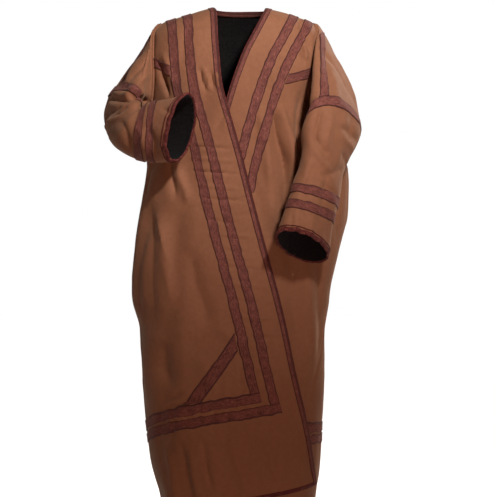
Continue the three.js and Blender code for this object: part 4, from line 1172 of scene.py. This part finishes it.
# ---------- edging and piping ----------
# Sections: distance in from the cloth's edge, and height over its middle.
EDGING_SECTION = [
    (EDGING_WIDTH, 1.6), (EDGING_WIDTH, 3.0), (13.2, 3.7), (11, 3.9), (7, 3.5), (3, 3.7), (0, 3.6),
    (-2, 2.6), (-2.9, 0), (-2, -2.6), (0, -3.6), (7, -3.5), (12, -3.6), (EDGING_WIDTH, -1.6),
]
HEM_SECTION = [
    (8, 1.6), (8, 3.0), (6.5, 3.5), (1, 3.6), (-1.5, 2.8), (-2.6, 0), (-1.5, -2.8), (8, -3),
]
CUFF_SECTION = [
    (9, 1.6), (9, 3.2), (7, 4.2), (4, 3.4), (1, 4.4), (-2.2, 3.4), (-3.6, 0), (-2.2, -3), (9, -3),
]
CORD_RADIUS = 2.1
CORD_SIDES = 10
EDGING_CORD_OUT = 3.6  # how far the cord's middle lies beyond the cloth's edge
HEM_CORD_OUT = 3.0


def frame_along(origin, inner, normal):
    """Origins, inward directions, and the normals made square to them."""
    inward = unit(inner - origin)
    return origin, inward, unit(normal - inward * (normal * inward).sum(-1, keepdims=True))


def edge_frame(panel, place):
    """The frame along one edge of a panel."""
    if place == "front":
        origin, normal = panel.at(panel.rows, 0)
        return frame_along(origin, panel.at(panel.rows, EDGING_WIDTH)[0], normal)
    edge, inner = (-1, -3) if place == "foot" else (0, 3)
    return frame_along(panel.points[edge], panel.points[inner], panel.normals[edge])


def ring_frame(panel, row, step, lines):
    """The frame round a sleeve at a row. Inward is towards the row that is a step away."""
    turn = np.linspace(0, 360, lines, endpoint=False)
    origin, normal = panel.at(row, turn)
    return frame_along(origin, panel.at(row + step, turn)[0], normal)


def swept(name, edge, section, materials, closed=False):
    """A section, or one for each origin, swept along a frame."""
    origin, inward, normal = edge
    section = np.array(section, float)
    if section.ndim == 2:
        section = np.broadcast_to(section, (len(origin), *section.shape))
    grid = origin[:, None] + inward[:, None] * section[..., :1] + normal[:, None] * section[..., 1:]
    along = np.broadcast_to(arc(origin, 0)[:, None], grid.shape[:2])
    across = np.clip(section[..., 0] / EDGING_WIDTH, 0, 1)
    uv = np.stack([arc(grid, 1), along], axis=-1)
    return tube(name, grid, materials, uv, closed, across)


def cord_section(out, radius, height=0.0):
    turn = 2 * np.pi * np.arange(CORD_SIDES) / CORD_SIDES
    return np.stack([-out + radius * np.cos(turn), height + radius * np.sin(turn)], axis=-1)


def bind(node, edge, panel_name, section, material, slot, cord_out):
    """Binds an edge with a band that wraps it and a cord beyond it."""
    band = finish_piece(swept(f"trim_{node}", edge, section, [material]), slot, node)
    cord = swept(f"cord_{node}", edge, cord_section(cord_out, CORD_RADIUS), [DARK_PIPING])
    trims[panel_name] += [band, finish_piece(cord, "piping")]


neck = np.abs(panels["back"].columns - BACK_COLUMNS / 2) <= BACK_COLUMNS / 2 - SHOULDER_COLUMNS
EDGES = {
    "front_right": edge_frame(panels["front_right"], "front"),
    "front_left": edge_frame(panels["front_left"], "front"),
    "neck_back": [each[neck] for each in edge_frame(panels["back"], "top")],
}
for place, edge in EDGES.items():
    cloth_name = place.replace("neck_", "")
    look = (EDGING_SECTION, WOVEN_EDGING, "braid", EDGING_CORD_OUT)
    bind(f"edging_{place}", edge, cloth_name, *look)
for name in ("front_right", "front_left", "back"):
    look = (HEM_SECTION, DARK_PIPING, "piping", HEM_CORD_OUT)
    bind(f"piping_hem_{name}", edge_frame(panels[name], "foot"), name, *look)

CUFF_RAGGED = {"out": 2.2, "height": 1.5, "wavelength": 24.0, "seed": 31}
CUFF_CORD = {"up": 15.0, "radius": 1.7}  # a second cord lies a little way up the cuff
ROPE = {"row": -1.75, "radius": 1.5, "bead": 0.5, "twist": 7.0, "lines": 320}
RING_STEP = 0.3  # rows
LINING_TOP = {"right": "upper_braid_foot", "left": "lower_braid_top"}
LINING_GRID = {"rows": 30, "columns": 144, "short_of_cuff": 0.15}
PILE_FLUFF = {"height": 1.2, "wavelength": 9.0, "seed": 41}


def cuff_band(side_name, panel):
    edge = edge_frame(panel, "foot")
    aside, rise = (
        ripples(edge[0], CUFF_RAGGED["seed"] + draw, CUFF_RAGGED["wavelength"]) for draw in (0, 1)
    )
    section = np.array(CUFF_SECTION, float) + np.zeros((len(aside), 1, 2))
    section[..., 0] -= CUFF_RAGGED["out"] * aside[:, None]
    section[..., 1] += CUFF_RAGGED["height"] * rise[:, None]
    node = f"piping_cuff_{side_name}"
    band = swept(f"trim_{node}", edge, section, [CUFF_PIPING], closed=True)
    return finish_piece(band, "piping", node)


def cuff_cord(side_name, panel):
    crest = arc(panel.points, 0)[:, 0]
    row = np.interp(crest[-1] - CUFF_CORD["up"], crest, panel.rows)
    ring = ring_frame(panel, row, -RING_STEP, SLEEVE_COLUMNS)
    section = cord_section(0, CUFF_CORD["radius"], HALF_WALL + CUFF_CORD["radius"] / 2)
    cord = swept(f"cord_cuff_{side_name}", ring, section, [DARK_PIPING], closed=True)
    return finish_piece(cord, "piping")


def cuff_lining(side_name, panel):
    ring_row = RING_ROW[side_name]
    foot = ring_row["cuff"] - LINING_GRID["short_of_cuff"]
    rows = np.linspace(ring_row[LINING_TOP[side_name]], foot, LINING_GRID["rows"])[:, None]
    columns = np.linspace(0, 360, LINING_GRID["columns"], endpoint=False)[None, :]
    points, normals = panel.at(rows, columns)
    outer = points - normals * (HALF_WALL + SEAM_GAP)
    fluff = PILE_FLUFF["height"] * ripples(points, PILE_FLUFF["seed"], PILE_FLUFF["wavelength"])
    inner = points - normals * (HALF_WALL + SEAM_GAP + PILE_THICKNESS + fluff)[..., None]
    uv, period = sideways(points, True)
    node = f"cuff_lining_{side_name}"
    lining = shell(f"pile_{node}", outer, inner, [BLACK_PILE], uv, period, closed_columns=True)
    finish_piece(lining, "pile", node)


def seam_rope(side_name, panel):
    """A twisted seam rope lies round each armhole."""
    ring = ring_frame(panel, ROPE["row"], RING_STEP, ROPE["lines"])
    beads = np.sin(2 * np.pi * arc(ring[0], 0) / ROPE["twist"])
    radius = (ROPE["radius"] + ROPE["bead"] * beads)[:, None]
    section = cord_section(0, 1) * radius[..., None] + [0, HALF_WALL]
    rope = swept(f"rope_armhole_{side_name}", ring, section, [WOOL_CLOTH], closed=True)
    return finish_piece(rope, "cloth")


sleeves = {side_name: panels[f"sleeve_{side_name}"] for side_name in RING_ROW}
for side_name, panel in sleeves.items():
    trims[f"sleeve_{side_name}"] += [cuff_band(side_name, panel), cuff_cord(side_name, panel)]
    cuff_lining(side_name, panel)
for side_name, panel in sleeves.items():
    trims[f"sleeve_{side_name}"].append(seam_rope(side_name, panel))


# ---------- stage, light and camera ----------
HEM_CLEARANCE = 0.075  # metres above the floor
FLOOR_LEVEL = -BACK_HEM_DROP * MM - HEM_CLEARANCE
FLOOR_REACH = 30.0
FLOOR_SUN = {"power": 4.0, "angle": 60}
SCALE_PLANE = -0.06  # the photograph's scale holds here
CAMERA_DISTANCE = 9.0
FRAME_WIDTH = 1.4355  # metres across the picture at the scale plane
FRAME_CENTRE = (0.0218, -0.7003)


def stage_floor():
    """A wide pale floor, lit evenly by a sun of its own so that the coat keeps its soft shade."""
    reach = FLOOR_REACH
    corners = [(-reach, -reach), (reach, -reach), (reach, reach), (-reach, reach)]
    mesh = bpy.data.meshes.new("studio_floor")
    mesh.from_pydata([(x, y, FLOOR_LEVEL) for x, y in corners], [], [(0, 1, 2, 3)])
    paper = Shader("studio_paper", 0.9, specular=0.1)
    paper.surface.inputs["Base Color"].default_value = (0.82, 0.81, 0.80, 1)
    mesh.materials.append(paper.material)
    floor = bpy.data.objects.new("studio_floor", mesh)
    floor.visible_diffuse = False
    lit = bpy.data.collections.new("floor_light_only")
    bpy.context.scene.collection.children.link(lit)
    lit.objects.link(floor)
    sun = bpy.data.lights.new("floor_sun", "SUN")
    sun.energy = FLOOR_SUN["power"]
    sun.angle = math.radians(FLOOR_SUN["angle"])
    lamp = bpy.data.objects.new("floor_sun", sun)
    bpy.context.scene.collection.objects.link(lamp)
    lamp.light_linking.receiver_collection = lit


def place_lamp(name, light, place, target):
    lamp = bpy.data.objects.new(name, light)
    bpy.context.scene.collection.objects.link(lamp)
    lamp.location = place
    lamp.visible_camera = False
    facing = Vector(target) - Vector(place)
    lamp.rotation_euler = facing.to_track_quat("-Z", "Y").to_euler()


def area_light(name, place, target, size, power, colour):
    light = bpy.data.lights.new(name, "AREA")
    light.shape = "DISK"
    light.size = size
    light.energy = power
    light.color = colour
    place_lamp(name, light, place, target)


def spot_light(name, place, target, cone, softness, power, colour):
    """A soft lamp that falls off towards the rim of its cone."""
    light = bpy.data.lights.new(name, "SPOT")
    light.spot_size = math.radians(cone)
    light.spot_blend = 1.0
    light.shadow_soft_size = softness
    light.energy = power
    light.color = colour
    place_lamp(name, light, place, target)


stage_floor()
spot_light("key", (0.78, -2.1, 1.0), (0.0, 0.0, -0.03), 45, 0.12, 368, (1.0, 0.96, 0.94))
area_light("fill", (0.5, -2.6, -1.2), (0.04, 0.0, -1.3), 0.9, 24, (1.0, 0.64, 0.52))
area_light("side_left", (2.3, 1.1, 0.6), (0.0, 0.0, -0.6), 1.0, 5, (1.0, 0.80, 0.68))
area_light("side_right", (-2.3, 1.3, 0.6), (0.0, 0.0, -0.6), 1.0, 8, (1.0, 0.80, 0.68))
area_light("behind", (1.7, 1.8, 1.0), (0.0, 0.0, -0.6), 0.7, 44, (1.0, 0.90, 0.82))

SKY_WARMTH = (1.0, 0.62, 0.42, 1)
SKY_STRENGTH = 0.075


def stage_sky():
    """The sky looks pale to the camera and lights the coat only a little."""
    world = bpy.data.worlds.new("studio")
    world.use_nodes = True
    sky, links = world.node_tree.nodes, world.node_tree.links
    dim = sky["Background"]
    dim.inputs["Color"].default_value = SKY_WARMTH
    dim.inputs["Strength"].default_value = SKY_STRENGTH
    pale = sky.new("ShaderNodeBackground")
    pale.inputs["Color"].default_value = (1.0, 1.0, 1.0, 1)
    chooser = sky.new("ShaderNodeMixShader")
    links.new(sky.new("ShaderNodeLightPath").outputs["Is Camera Ray"], chooser.inputs[0])
    links.new(dim.outputs[0], chooser.inputs[1])
    links.new(pale.outputs[0], chooser.inputs[2])
    links.new(chooser.outputs[0], sky["World Output"].inputs["Surface"])
    bpy.context.scene.world = world


stage_sky()
bpy.context.scene.view_settings.view_transform = "Standard"

camera = bpy.data.cameras.new("camera")
camera.sensor_fit = "HORIZONTAL"
camera.sensor_width = 36.0
camera.lens = camera.sensor_width * CAMERA_DISTANCE / FRAME_WIDTH
camera.clip_end = 60.0
eye = bpy.data.objects.new("camera", camera)
bpy.context.scene.collection.objects.link(eye)
eye.location = (FRAME_CENTRE[0], SCALE_PLANE - CAMERA_DISTANCE, FRAME_CENTRE[1])
eye.rotation_euler = (math.pi / 2, 0, 0)
bpy.context.scene.camera = eye
